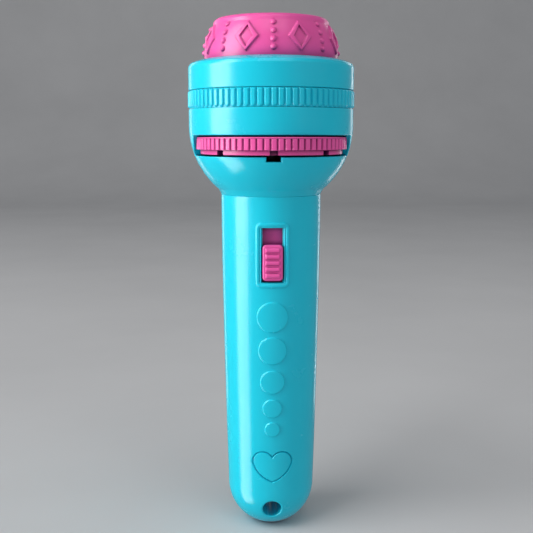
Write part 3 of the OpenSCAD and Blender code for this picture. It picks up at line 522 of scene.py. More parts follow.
def picture_film(slot):
    """Dark film with eight little pictures around it: a hill, a moon and a sky in its own colour."""
    picture_edge_r, moon_r, moon_x, moon_y = 3.0, 0.75, 1.1, 1.2
    hill_height, hill_drop, hill_waves = 0.7, 0.8, 1400
    pitch = math.radians(360 / PICTURES)
    tree, shader = new_material(slot)
    separate = tree.nodes.new("ShaderNodeSeparateXYZ")
    tree.links.new(place(tree), separate.inputs["Vector"])
    x = separate.outputs["X"]
    y = calc(tree, "ADD", separate.outputs["Y"], DISC_OFFSET * MM)
    # Which picture a point belongs to, and where it lies across and outwards from that picture's centre
    angle = calc(tree, "ARCTAN2", y, x)
    sector = calc(tree, "DIVIDE", calc(tree, "ADD", angle, 2 * math.pi + pitch / 2), pitch)
    number = calc(tree, "FLOOR", sector)
    local = calc(tree, "MULTIPLY", calc(tree, "SUBTRACT", calc(tree, "FRACT", sector), 0.5), pitch)
    radius = calc(tree, "SQRT", squares_sum(tree, x, y))
    across = calc(tree, "MULTIPLY", calc(tree, "SINE", local), radius)
    forward = calc(tree, "MULTIPLY", calc(tree, "COSINE", local), radius)
    outwards = calc(tree, "SUBTRACT", forward, PICTURE_CIRCLE_R * MM)
    sky = tree.nodes.new("ShaderNodeCombineColor")
    sky.mode = "HSV"
    tree.links.new(calc(tree, "FRACT", calc(tree, "MULTIPLY", number, 0.31)), sky.inputs[0])
    sky.inputs[1].default_value = 0.75
    sky.inputs[2].default_value = 0.8
    wave = calc(tree, "SINE", calc(tree, "MULTIPLY", across, hill_waves))
    hill_edge = calc(tree, "MULTIPLY", wave, hill_height * MM)
    hill = calc(tree, "LESS_THAN", outwards, calc(tree, "SUBTRACT", hill_edge, hill_drop * MM))
    base = mix(tree, hill, sky.outputs["Color"], (0.05, 0.35, 0.12))
    from_moon_x = calc(tree, "SUBTRACT", across, moon_x * MM)
    from_moon_y = calc(tree, "SUBTRACT", outwards, moon_y * MM)
    moon = calc(tree, "LESS_THAN", squares_sum(tree, from_moon_x, from_moon_y), (moon_r * MM) ** 2)
    base = mix(tree, moon, base, (0.95, 0.85, 0.35))
    outside = calc(tree, "GREATER_THAN", squares_sum(tree, across, outwards), (picture_edge_r * MM) ** 2)
    base = mix(tree, outside, base, (0.01, 0.01, 0.012))
    set_surface(tree, shader, base, ramp(tree, noise(tree, place(tree), 300), (0.3, 0.12), (0.7, 0.25)))
    shader.inputs["Transmission Weight"].default_value = 0.25


def make_materials():
    # Every plastic gets painted shade in its hollows; its shadow colour and reach set how dark and how far it
    # goes
    moulded_plastic("cyan_shell", colour=(0.007, 0.575, 0.755), deep=(0.006, 0.55, 0.735),
                    pale=(0.1, 0.7, 0.84), roughness=0.25, grain=0.25, gloss=0.1,
                    shadow=(0.002, 0.14, 0.3), reach=(1.4, 0.05, 0.5))
    moulded_plastic("pink_plastic", colour=(0.84, 0.10, 0.395), deep=(0.80, 0.09, 0.37),
                    pale=(0.95, 0.3, 0.6), roughness=0.36, grain=0.5, gloss=0.15,
                    shadow=(0.1, 0.002, 0.07), reach=(3.4, 0.3, 0.92))
    moulded_plastic("black_plastic", colour=(0.02, 0.02, 0.022), deep=(0.014, 0.014, 0.015),
                    pale=(0.08, 0.08, 0.085), roughness=0.48, grain=0.8, gloss=0.0)
    moulded_plastic("white_plastic", colour=(0.8, 0.8, 0.78), deep=(0.74, 0.74, 0.71),
                    pale=(0.88, 0.88, 0.88), roughness=0.34, grain=0.4, gloss=0.2)
    metal("screw_steel", (0.66, 0.67, 0.7), (0.42, 0.42, 0.43), 0.3, (1, 1, 12))
    metal("cell_steel", (0.7, 0.7, 0.71), (0.5, 0.5, 0.5), 0.24, (1, 1, 9))
    metal("contact_brass", (0.78, 0.55, 0.2), (0.5, 0.33, 0.11), 0.26, (1, 1, 10))
    circuit_board("board_green")
    resistor_lacquer("resistor_tan")
    wire_insulation("wire_red", (0.5, 0.02, 0.015), (0.36, 0.012, 0.01))
    wire_insulation("wire_yellow", (0.72, 0.5, 0.04), (0.58, 0.38, 0.03))
    wire_insulation("wire_black", (0.02, 0.02, 0.02), (0.01, 0.01, 0.01))
    lamp_phosphor("led_yellow")
    clear_plastic("clear_lens")
    picture_film("film_tint")


# ---- Handle ----

# The front shell is a grid: a finely divided strip up the middle of the front, its two sides, and the rear
STRIP_HALF_W = 5.6
SIDE_COLUMNS, REAR_COLUMNS = 24, 40
FOOT_RINGS = np.array([0.0, 0.5, 0.9]) * FOOT_R


def handle_radius(z):
    share = np.clip((z - END_Z) / (NECK_Z - END_Z), 0, 1)
    taper = END_R + (NECK_R - END_R) * (1 - (1 - share) ** TAPER_POWER)
    ball = np.sqrt(np.clip(END_R ** 2 - (END_Z - z) ** 2, 0, None))
    return np.where(z < END_Z, ball, taper)


def heart_line():
    """Points along the right half of the heart's line, from the notch to the rounded tip."""
    tip_half_w, tip_drop = 0.21, 0.12
    notch = math.acos(-HEART_X / HEART_LOBE_R)
    lobe = [(HEART_X + HEART_LOBE_R * math.cos(a), HEART_Z + HEART_LOBE_R * math.sin(a))
            for a in np.linspace(notch, -HEART_ANGLE, 60)]
    reach = HEART_SIDE_R - HEART_LOBE_R
    centre_x = HEART_X - reach * math.cos(HEART_ANGLE)
    centre_z = HEART_Z + reach * math.sin(HEART_ANGLE)
    last = -math.acos((tip_half_w - centre_x) / HEART_SIDE_R)
    side = [(centre_x + HEART_SIDE_R * math.cos(a), centre_z + HEART_SIDE_R * math.sin(a))
            for a in np.linspace(-HEART_ANGLE, last, 60)]
    last_x, last_z = side[-1]
    tip = [(last_x * (1 - t), last_z - tip_drop * (1 - (1 - t) ** 2)) for t in np.linspace(0.25, 1, 4)]
    return np.array(lobe + side + tip)


def heart_depth(x, z):
    """Depth of the groove along the heart's line."""
    groove_depth, groove_half_w = 0.5, 0.28
    line = heart_line()
    depth = np.zeros_like(x)
    near = (np.abs(x) < HEART_X + HEART_LOBE_R + 1) & (np.abs(z - HEART_Z) < HEART_SIDE_R)
    px, pz = np.abs(x[near])[:, None], z[near][:, None]
    distance = np.min(np.hypot(px - line[:, 0], pz - line[:, 1]), axis=1)
    depth[near] = groove_depth * smooth_step(1 - distance / groove_half_w)
    return depth


def front_relief(x, z):
    """Height of the front shell's decoration over the plain handle."""
    circle_slope, frame_half_w, window_edge_r = 0.3, 0.58, 0.16
    sill_height, sill_reach, sill_slope = 0.2, 0.36, 0.14
    height = -heart_depth(x, z)
    for centre_z, radius in CIRCLES:
        outside = np.hypot(x, z - centre_z) - radius
        height += CIRCLE_HEIGHT * smooth_step((0.02 - outside) / circle_slope)
    frame_edge = box_distance(x, z - WINDOW_MID, FRAME_W / 2, FRAME_H / 2, FRAME_CORNER)
    height += FRAME_HEIGHT * bead(frame_edge + frame_half_w, frame_half_w)
    window_edge = box_distance(x, z - WINDOW_MID, WINDOW_W / 2, WINDOW_H / 2)
    sill = sill_height * smooth_step((sill_reach - window_edge) / sill_slope)
    return height + np.where(frame_edge < 0, sill - lip(window_edge, window_edge_r), 0)


def handle_x_line():
    step, side = 0.085, WINDOW_W / 2
    return stretches([(-STRIP_HALF_W, -side, step), (-side, side, step), (side, STRIP_HALF_W, step)])


def handle_z_line():
    """Heights of the handle's rows, close together at the strap hole, heart, circles and window."""
    return stretches([
        (0.0, 3.4, 0.3), (3.4, 10.6, 0.14), (10.6, REAR_SHELL_Z, 0.4), (REAR_SHELL_Z, 15, 0.25),
        (15, 24.3, 0.085), (24.3, 28, 0.6), (28, 65.6, 0.15), (65.6, 68.9, 0.5), (68.9, WINDOW_Z, 0.09),
        (WINDOW_Z, 71.4, 0.14), (71.4, 83.7, 0.5), (83.7, WINDOW_TOP, 0.14),
        (WINDOW_TOP, 86.3, 0.09), (86.3, NECK_Z - 0.25, 0.6), (NECK_Z - 0.25, NECK_Z, 0.06),
    ])


def handle_angles(plain_r, x_line):
    """Angles around one row of the handle, measured from the front."""
    strip = min(STRIP_HALF_W, 0.8 * plain_r)
    strip_angle = math.asin(strip / plain_r) if plain_r > 0 else 0.9
    middle = np.arcsin(np.clip(x_line / STRIP_HALF_W * strip / max(plain_r, 1e-9), -1, 1))
    # The last side column is narrow, for the groove of the parting line
    shares = np.append(np.linspace(0, 0.985, SIDE_COLUMNS)[1:], 1)
    sides = strip_angle + (math.pi / 2 - strip_angle) * shares
    rear = math.pi / 2 + math.pi * np.arange(1, REAR_COLUMNS) / REAR_COLUMNS
    return np.concatenate([-sides[::-1], middle, sides, rear])


def around(r, angles, z):
    """A row of points around the axis; angles run from the front."""
    return np.stack([r * np.sin(angles), -r * np.cos(angles), np.full_like(angles, z)], 1)


def handle_outside(z, plain_r, angles):
    """One row of the front shell's outer surface."""
    strap_edge_r, seam_depth, seam_slope, parting_depth = 0.45, 0.07, 0.15, 0.12
    x = plain_r * np.sin(angles)
    relief = np.where(np.cos(angles) > 0, front_relief(x, np.full_like(x, z)), 0)
    from_strap = np.hypot(x, z - STRAP_Z) - STRAP_R
    relief -= lip(from_strap, strap_edge_r) * (from_strap < strap_edge_r + 0.05)
    relief -= seam_depth * smooth_step((z - (NECK_Z - seam_slope)) / seam_slope)
    parting = np.isclose(np.abs(angles), math.pi / 2) & (z > REAR_SHELL_Z)
    return around(plain_r + relief - np.where(parting, parting_depth, 0), angles, z)


def handle_inside(z, plain_r, angles):
    """The same row's inner surface, with the pocket for the switch and the floor of the round end."""
    x = plain_r * np.sin(angles)
    share = 1 if z >= END_Z else plain_r / END_R
    r = max(handle_radius(np.array(max(z, END_Z))) - HANDLE_WALL, 0) * share
    y = -r * np.cos(angles)
    if POCKET_Z <= z <= POCKET_TOP:
        in_pocket = (np.abs(x) <= POCKET_HALF_W) & (np.cos(angles) > 0)
        y = np.where(in_pocket, np.minimum(y, POCKET_Y), y)
    floor_z = REAR_SHELL_Z - HANDLE_WALL
    return np.stack([r * np.sin(angles), y, np.full_like(x, max(z, floor_z))], 1)


def handle_front():
    x_line, z_line = handle_x_line(), handle_z_line()
    radii = np.concatenate([FOOT_RINGS, handle_radius(z_line)])
    z_line = np.concatenate([np.zeros(len(FOOT_RINGS)), z_line])
    angles = [handle_angles(r, x_line) for r in radii]
    outer = np.array([handle_outside(z, r, a) for z, r, a in zip(z_line, radii, angles)])
    inner = np.array([handle_inside(z, r, a) for z, r, a in zip(z_line, radii, angles)])
    rows, cols = outer.shape[:2]
    # Above the round end the shell is only the front half, and it has the window
    front_last = SIDE_COLUMNS * 2 + len(x_line) - 1
    window_left, window_right = [SIDE_COLUMNS + k for k in nearest(x_line, [-WINDOW_W / 2, WINDOW_W / 2])]
    present = np.ones((rows - 1, cols), bool)
    z_mid, columns = (z_line[1:] + z_line[:-1]) / 2, np.arange(cols)
    present[z_mid > REAR_SHELL_Z] = columns < front_last
    window_rows = (z_mid > WINDOW_Z) & (z_mid < WINDOW_TOP)
    window_columns = (columns >= window_left) & (columns < window_right)
    present[np.ix_(window_rows, window_columns)] = False
    # Lines of the coarse inner side
    inner_x = [0, WINDOW_W / 2, POCKET_HALF_W - 0.5, POCKET_HALF_W, STRIP_HALF_W]
    inner_x += [-x for x in inner_x]
    side_lines = [0, 8, 16, front_last - 16, front_last - 8, front_last]
    strip_lines, rear_lines = nearest(x_line, inner_x), range(front_last + 4, cols, 4)
    keep_cols = {SIDE_COLUMNS + k for k in strip_lines}.union(side_lines, rear_lines)
    inner_z = [4, 8, END_Z, REAR_SHELL_Z - HANDLE_WALL, REAR_SHELL_Z, 22, 30, 40, 50, 60, POCKET_Z - 0.1,
               POCKET_Z + 0.5, WINDOW_Z, WINDOW_TOP, POCKET_TOP - 0.4, POCKET_TOP + 0.2, NECK_Z]
    keep_rows = set(nearest(z_line, inner_z)).union([0, len(FOOT_RINGS), rows - 1])
    part = grid_solid(outer, inner, present, True, sorted(keep_rows), sorted(keep_cols))
    obj = make_object("front_shell", *part, "cyan_shell", "housing", "handle_front_shell")
    reach = 20
    points, faces = revolve([(0, -reach), (STRAP_R, -reach), (STRAP_R, reach), (0, reach)], 96)
    along_y = points[:, [0, 2, 1]] * [1, -1, 1]
    cut(obj, along_y + [0, 0, STRAP_Z], faces)


# ---- Head ----

SLOT_EDGE_R = 0.3
SLOT_EDGE_STEPS = np.array([0.0, 0.05, 0.11, 0.2, SLOT_EDGE_R])
CUP_SIDE_COLUMNS, CUP_REAR_COLUMNS = 42, 90


def cup_sphere(z, grow=0.0):
    """Square of the cup's radius at a height."""
    return (HEAD_R + grow) ** 2 - (CUP_Z - np.minimum(z, CUP_Z)) ** 2


def cup_rows():
    """Heights, outer radii and inner radii of the cup's rows, from the spigot up."""
    spigot = [(SPIGOT_Z, SPIGOT_R - 0.7), (SPIGOT_Z, SPIGOT_R), (NECK_Z - 0.05, SPIGOT_R), (NECK_Z, 12.4),
              (NECK_Z, NECK_R - 0.15), (NECK_Z + 0.15, NECK_R + 0.02), (NECK_CONE_Z, NECK_CONE_R)]
    top_edge = [(RING_Z - 0.35, HEAD_R), (RING_Z - 0.2, HEAD_R - 0.02), (RING_Z - 0.08, HEAD_R - 0.05),
                (RING_Z - 0.02, HEAD_R - 0.1), (RING_Z, HEAD_R - 0.16), (RING_Z, HEAD_R - 0.85)]
    steps, falling = SLOT_EDGE_STEPS, SLOT_EDGE_STEPS[::-1]
    middle_z = np.concatenate([
        stretches([(NECK_CONE_Z + 0.4, GROOVE_Z - SLOT_EDGE_R, 0.55)]),
        (GROOVE_Z - falling)[1:], SLOT_Z - falling, SLOT_Z + steps[1:],
        stretches([(SLOT_Z + 2 * SLOT_EDGE_R, SLOT_TOP - 2 * SLOT_EDGE_R, 0.5)]),
        SLOT_TOP - falling[:-1], SLOT_TOP + steps,
        stretches([(SLOT_TOP + 0.7, RING_Z - 0.6, 0.6)]),
    ])
    z_line = np.concatenate([[z for z, _ in spigot], middle_z, [z for z, _ in top_edge]])
    middle_r = np.sqrt(cup_sphere(middle_z))
    outer_r = np.concatenate([[r for _, r in spigot], middle_r, [r for _, r in top_edge]])
    hollow_r = np.sqrt(np.maximum(cup_sphere(z_line, -CUP_WALL), SPIGOT_BORE_R ** 2))
    inner_r = np.where(z_line < NECK_CONE_Z + 0.2, SPIGOT_BORE_R, hollow_r)
    inner_r[z_line > SLEEVE_Z - 0.9] = WALL_INNER_R
    return z_line, outer_r, inner_r


def slot_end_angle(z):
    """Half of the slot's opening angle on the cup's outside at a height."""
    r = np.sqrt(cup_sphere(np.clip(z, SLOT_Z, SLOT_TOP)))
    return float(np.minimum(np.arccos(DISC_OFFSET / r), np.arcsin(np.clip(SLOT_HALF_W / r, 0, 1))))


def cup_angles(r, slot_end, x_line):
    """Angles around one row of the cup: over the groove, along the slot, past its ends, and the rear."""
    groove = np.arcsin(x_line / max(r, 4))
    side = groove[-1] + (slot_end - groove[-1]) * (np.arange(1, CUP_SIDE_COLUMNS + 1) / CUP_SIDE_COLUMNS)
    past = slot_end + SLOT_EDGE_STEPS[1:] / r
    rear = past[-1] + (2 * math.pi - 2 * past[-1]) * np.arange(1, CUP_REAR_COLUMNS) / CUP_REAR_COLUMNS
    return np.concatenate([-past[::-1], -side[::-1], groove, side, past, rear])


def opening_distance(z, r, slot_end, angles):
    """Distance along the cup's surface to the slot or to the groove's entrance in the lower lip."""
    from_front = np.abs(np.where(angles > math.pi, angles - 2 * math.pi, angles))
    beside = r * (from_front - slot_end)
    above = abs(z - (SLOT_Z + SLOT_TOP) / 2) - (SLOT_TOP - SLOT_Z) / 2
    slot = np.hypot(np.maximum(beside, 0), max(above, 0)) + np.minimum(np.maximum(beside, above), 0)
    groove_half_h = 0.8
    x = r * np.sin(angles)
    groove = box_distance(x, np.full_like(x, z - GROOVE_Z - groove_half_h), GROOVE_HALF_W, groove_half_h)
    return np.minimum(slot, np.where(np.cos(angles) > 0, groove, FLANGE_R))


def head_cup():
    z_line, outer_r, inner_r = cup_rows()
    fine_half, line_half = GROOVE_HALF_W + 0.3, GROOVE_HALF_W + 1.5
    x_line = stretches([
        (-line_half, -fine_half, 0.2), (-fine_half, -GROOVE_HALF_W, 0.06),
        (-GROOVE_HALF_W, GROOVE_HALF_W, 0.4), (GROOVE_HALF_W, fine_half, 0.06), (fine_half, line_half, 0.2)])
    outer, inner = [], []
    for z, r, hollow_r in zip(z_line, outer_r, inner_r):
        slot_end = slot_end_angle(z)
        angles = cup_angles(r, slot_end, x_line)
        edge_r = r - lip(opening_distance(z, r, slot_end, angles), SLOT_EDGE_R)
        outer.append(around(edge_r, angles, z))
        inner.append(around(hollow_r, angles, z))
    outer, inner = np.array(outer), np.array(inner)
    rows, cols = outer.shape[:2]
    z_mid, columns = (z_line[1:] + z_line[:-1]) / 2, np.arange(cols)
    slot_first = len(SLOT_EDGE_STEPS) - 1
    slot_last = slot_first + 2 * CUP_SIDE_COLUMNS + len(x_line) - 1
    x_first = slot_first + CUP_SIDE_COLUMNS
    groove_left, groove_right = [x_first + k for k in nearest(x_line, [-GROOVE_HALF_W, GROOVE_HALF_W])]
    present = np.ones((rows - 1, cols), bool)
    for low, high, left, right in ((SLOT_Z, SLOT_TOP, slot_first, slot_last),
                                   (GROOVE_Z, SLOT_Z, groove_left, groove_right)):
        inside_rows, inside_columns = (z_mid > low) & (z_mid < high), (columns >= left) & (columns < right)
        present[np.ix_(inside_rows, inside_columns)] = False
    inner_z = [NECK_CONE_Z + 0.4, 97, 100, GROOVE_Z, SLOT_Z, SLOT_TOP, 109.8, 110.4, 114]
    keep_rows = sorted({0, 1, 4, rows - 1}.union(nearest(z_line, inner_z)))
    keep_cols = sorted({0, groove_left, groove_right, slot_last}.union(
        range(slot_first, x_first, 3), range(x_first + len(x_line) - 1, cols, 3)))
    part = grid_solid(outer, inner, present, True, keep_rows, keep_cols)
    make_object("cup_shell", *part, "cyan_shell", "housing", "head_cup")


def head_collar():
    wall_r, bore_r, bore_z = 20.3, 17.78, 125.5
    outline = rounded([
        (bore_r, bore_z, 0), (wall_r, bore_z, 0.1), (wall_r, RING_TOP, 0), (HEAD_R - 0.15, RING_TOP, 0.05),
        (HEAD_R, RING_TOP + 0.15, 0.12), (HEAD_R, 125.7, 0.9), (21.4, 126.55, 0.7), (20.1, 127.1, 1.5),
        (18.05, 127.62, 0.2), (bore_r, 127.58, 0.12),
    ], 6)
    make_object("collar", *revolve(outline, 256), "cyan_shell", "housing", "head_collar")


def tooth_angles(ribs):
    """Angles around a ribbed band, closer together at the ribs' sides."""
    half = np.array([0, 0.08, 0.16, 0.22, 0.26, 0.31, 0.37, 0.42, 0.46, 0.485])
    line = np.concatenate([-half[:0:-1], half])
    return (np.arange(ribs)[:, None] + line[None, :]).ravel() * 2 * math.pi / ribs


def toothed(radius, height, low, high, half_w, ribs, closed_top=False):
    """Radii with upright ribs, round at the lower end and square at the upper.

    With closed_top the ribs run into a rim at their upper end."""
    flank_w, upper_corner_r, rim_h, rim_slope, band_depth = 0.38, 0.28, 0.3, 0.16, 0.6

    def shape(radii, heights, angles):
        pitch = 2 * math.pi / ribs
        turn = angles / pitch
        across = np.abs(turn - np.round(turn)) * pitch * radius
        lower_half = heights < (low + high) / 2
        corner_r = np.where(lower_half, half_w * 0.9, upper_corner_r)
        qx = across - (half_w - corner_r)
        qz = np.where(lower_half, low + half_w * 0.9 - heights, heights - (high - upper_corner_r))
        inset = corner_r - np.hypot(np.maximum(qx, 0), np.maximum(qz, 0)) - np.minimum(np.maximum(qx, qz), 0)
        t = np.clip(inset / flank_w, 0, 1)
        rib = t * (1.35 - 0.35 * t)
        if closed_top:
            rib = np.maximum(rib, smooth_step((heights - (high - rim_h)) / rim_slope))
        on_band = radii > radius - band_depth
        return radii - np.where(on_band, height * (1 - np.clip(rib, 0, 1)), 0)
    return shape


def band_heights(low, high):
    """Heights up a ribbed band, close together at the ribs' ends."""
    return np.concatenate([np.linspace(low, low + 1.0, 11), np.linspace(low + 1.4, high - 0.8, 5),
                           np.linspace(high - 0.6, high, 8)])


def focus_ring():
    low, high = RING_Z + 0.05, RING_TOP - 0.05
    flat_r, edge_r = 21.3, 21.6
    band = np.concatenate([
        [(SLEEVE_INNER_R, SLEEVE_Z), (SLEEVE_R, SLEEVE_Z), (SLEEVE_R, low), (flat_r, low), (edge_r, low)],
        [(RING_R, z) for z in band_heights(low + 0.03, high - 0.03)],
        [(edge_r, high), (flat_r, high), (SLEEVE_INNER_R, high)],
    ])
    shape = toothed(RING_R, 0.5, low + 0.1, high - 0.06, 0.81, RING_RIBS)
    make_object("ribbed_focus_ring", *revolve(band, tooth_angles(RING_RIBS), shape), "cyan_shell",
                "focus_ring", "focus_ring")


# ---- Slide disc ----

def picture_angles():
    return math.pi / 2 + np.arange(PICTURES) * 2 * math.pi / PICTURES


def wheel_rim():
    """The ribbed rim, about the disc's own axis."""
    edge_r = 0.22
    outline = np.concatenate([
        [(RIM_INNER_R, RIM_Z - 0.1), (DISC_R - 1.2, RIM_Z - 0.1)],
        [(DISC_R - 1.1, RIM_Z), (DISC_R - 0.65, RIM_Z)],
        [(DISC_R, z) for z in band_heights(RIM_Z + 0.04, RIM_TOP - edge_r)],
        [(DISC_R - edge_r + edge_r * math.cos(a), RIM_TOP - edge_r + edge_r * math.sin(a))
         for a in np.linspace(0.25, math.pi / 2, 5)],
        [(RIM_INNER_R + 0.2, RIM_TOP), (RIM_INNER_R, RIM_TOP - 0.2)],
    ])
    shape = toothed(DISC_R, 0.44, RIM_Z - 0.9, RIM_TOP - 0.2, 0.84, DISC_RIBS, closed_top=True)
    return revolve(outline, tooth_angles(DISC_RIBS), shape)


def wheel_flange():
    """The floor of the disc with its notched edge, about the disc's own axis."""
    pitch = 2 * math.pi / PICTURES
    notch_r, notch_slope, edge_depth = FLANGE_R - NOTCH_DEPTH, 0.08, 0.5

    def notched(radii, heights, angles):
        turn = (angles - math.pi / 2) / pitch
        across = np.abs(turn - np.round(turn)) * pitch * FLANGE_R
        inside = smooth_step((NOTCH_HALF_W + notch_slope / 2 - across) / notch_slope)
        return np.where(radii > FLANGE_R - edge_depth, radii - (radii - notch_r) * inside, radii)

    at_notch = [-1.2, -1.09, -1.0, -0.5, 0, 0.5, 1.0, 1.09, 1.2]
    between = np.linspace(1.6, pitch * FLANGE_R - 1.6, 14)
    line = np.concatenate([at_notch, between]) / FLANGE_R
    angles = (picture_angles()[:, None] + line[None, :]).ravel()
    top_z = RIM_Z - 0.01
    outline = rounded([
        (HUB_HOLE_R, FLANGE_Z, 0.1), (FLANGE_R, FLANGE_Z, 0.14),
        (FLANGE_R, top_z, 0.06), (HUB_HOLE_R, top_z, 0.1),
    ], 4)
    return revolve(outline, angles, notched)


def slide_wheel():
    centre = [0, -DISC_OFFSET, 0]
    obj = make_object("ribbed_slide_wheel", *moved(wheel_flange(), centre), "pink_plastic",
                      "slide_disc", "slide_disc_wheel")
    low, high = FLANGE_Z - 3.35, RIM_TOP + 2.2
    window = revolve([(0, low), (PICTURE_R, low), (PICTURE_R, high), (0, high)], 48)
    for a in picture_angles():
        x, y = PICTURE_CIRCLE_R * math.cos(a), PICTURE_CIRCLE_R * math.sin(a)
        cut(obj, *moved(window, [x, y - DISC_OFFSET, 0]))
    add_part(obj, moved(wheel_rim(), centre))


# ---- Lens cap ----

def cap_outline():
    """The cap's closed side view: outside up, over the rim and dish, and back down the inside."""
    points = [(CAP_R - CAP_WALL, CAP_SKIRT_Z), (CAP_R, CAP_SKIRT_Z), (CAP_R, 120.0), (CAP_R, 127.6)]
    points += [(CAP_R, z) for z in np.arange(127.9, CAP_CURVE_Z - 0.05, 0.1)]
    curve_x = CAP_R - CAP_CURVE_R
    last = math.asin((CAP_TOP - CAP_RIM_R - CAP_CURVE_Z) / CAP_CURVE_R)
    points += [(curve_x + CAP_CURVE_R * math.cos(a), CAP_CURVE_Z + CAP_CURVE_R * math.sin(a))
               for a in np.linspace(0, last, 62)]
    # The rim's arc starts in line with the curve and is stretched to end at the top
    rim_x = points[-1][0] - CAP_RIM_R * math.cos(last)
    start_z = points[-1][1] - CAP_RIM_R * math.sin(last)
    points += [(rim_x + CAP_RIM_R * math.cos(a), start_z + (CAP_TOP - start_z) * math.sin(a))
               for a in np.linspace(last, math.pi / 2, 12)[1:]]
    dish = [(0.35, 0), (0.15, 0.06), (0.02, 0.2), (0, 0.4), (0, 0.95), (-0.15, 1.15), (-0.4, 1.2)]
    points += [(CAP_DISH_R + outwards, CAP_TOP - down) for outwards, down in dish]
    points += [(6.0, CAP_DISH_Z), (0, CAP_DISH_Z), (0, CAP_ROOF_Z), (12.0, CAP_ROOF_Z)]
    points += [(14.4, 134.0), (15.7, 131.5), (CAP_R - CAP_WALL, CAP_CURVE_Z)]
    return points


def cap_angles():
    """Angles around the cap, close together at the beads and the rhombs."""
    sector = 2 * math.pi / CAP_COLUMNS
    bead_reach, rhomb_reach, width = BEAD_R + 0.2, RHOMB_OUTER[0] / 2 + 0.25, sector * CAP_R
    line = stretches([
        (-bead_reach, bead_reach, 0.14), (bead_reach, width / 2 - rhomb_reach, 0.5),
        (width / 2 - rhomb_reach, width / 2 + rhomb_reach, 0.14),
        (width / 2 + rhomb_reach, width - bead_reach, 0.5)])[:-1] / CAP_R
    return (math.pi / 2 + np.arange(CAP_COLUMNS)[:, None] * sector + line[None, :]).ravel()


def rhomb_distance(x, z, size):
    """Signed distance to an upright rhomb of that (width, height), negative inside."""
    half_w, half_h = size[0] / 2, size[1] / 2
    return (np.abs(x) / half_w + np.abs(z) / half_h - 1) * half_w * half_h / math.hypot(half_w, half_h)


def cap_relief(radii, heights, angles):
    """Radii of the cap with its columns of beads and, between them, its rhombs."""
    bead_height, rhomb_slope, lean = 0.62, 0.26, 1.04
    sector = 2 * math.pi / CAP_COLUMNS
    turn = (angles - math.pi / 2) / sector
    bead_x = (turn - np.round(turn)) * sector * radii
    rhomb_x = (turn - np.floor(turn) - 0.5) * sector * radii
    raised = np.zeros_like(radii)
    for z in BEAD_HEIGHTS:
        slope = math.asin((z - CAP_CURVE_Z) / CAP_CURVE_R)
        s = np.hypot(bead_x, (heights - z) / math.cos(slope)) / BEAD_R
        raised = np.maximum(raised, bead_height * np.clip(1 - s ** 2, 0, 1) ** 0.62)
    outer = rhomb_distance(rhomb_x, (heights - RHOMB_Z) * lean, RHOMB_OUTER)
    inner = rhomb_distance(rhomb_x, (heights - RHOMB_Z) * lean, RHOMB_INNER)
    frame_top = smooth_step(-outer / rhomb_slope) * smooth_step((inner + 0.05) / rhomb_slope)
    raised = np.maximum(raised, RHOMB_HEIGHT * frame_top)
    curve_r = CAP_R - CAP_CURVE_R + np.sqrt(np.clip(CAP_CURVE_R ** 2 - (heights - CAP_CURVE_Z) ** 2, 0, None))
    decorated = (heights >= 127.7) & (heights < CAP_TOP - 0.7) & (radii > 12.3) & (radii > curve_r - 0.5)
    return radii + np.where(decorated, raised, 0)


def lens_cap():
    obj = make_object("decorated_cap", *revolve(cap_outline(), cap_angles(), cap_relief), "pink_plastic",
                      "lens_cap", "lens_cap")
    low, high, wide_r = CAP_ROOF_Z - 1, CAP_TOP + 2, LENS_OPENING_R + 0.25
    opening = revolve([(0, low), (LENS_OPENING_R, low), (LENS_OPENING_R, CAP_DISH_Z - 0.25),
                       (wide_r, CAP_DISH_Z + 0.05), (wide_r, high), (0, high)], 96)
    cut(obj, *moved(opening, [0, LIGHT_Y, 0]))
    tube_top = CAP_ROOF_Z + 0.5
    tube = revolve(rounded([(LENS_SEAT_R, LENS_TUBE_Z, 0.1), (LENS_TUBE_R, LENS_TUBE_Z, 0.2),
                            (LENS_TUBE_R, tube_top, 0), (LENS_SEAT_R, tube_top, 0)], 3), 96)
    add_part(obj, moved(tube, [0, LIGHT_Y, 0]))


# ---- Switch ----

def round_corner_grid(half_w, half_h, corner, count_w, count_h):
    """A grid over a rectangle with round corners, its border on the corners, and each point's inset."""
    x, z = np.meshgrid(np.linspace(-half_w, half_w, count_w), np.linspace(-half_h, half_h, count_h))
    a, b = np.abs(x) - (half_w - corner), np.abs(z) - (half_h - corner)
    both = (a > 0) & (b > 0)
    length = np.maximum(a, b)
    norm = np.hypot(a, b) + 1e-12
    x = np.where(both, np.sign(x) * (half_w - corner + a / norm * length), x)
    z = np.where(both, np.sign(z) * (half_h - corner + b / norm * length), z)
    return x, z, -box_distance(x, z, half_w, half_h, corner)


def slab(x, front_y, z, back_y):
    """A closed slab between a shaped front and a flat back, over a grid."""
    rows, cols = x.shape
    front = np.stack([x, front_y, z], 2)
    back = np.stack([x, np.full_like(x, back_y), z], 2)
    present = np.ones((rows - 1, cols - 1), bool)
    return grid_solid(front, back, present, False, [0, rows - 1], [0, cols - 1])


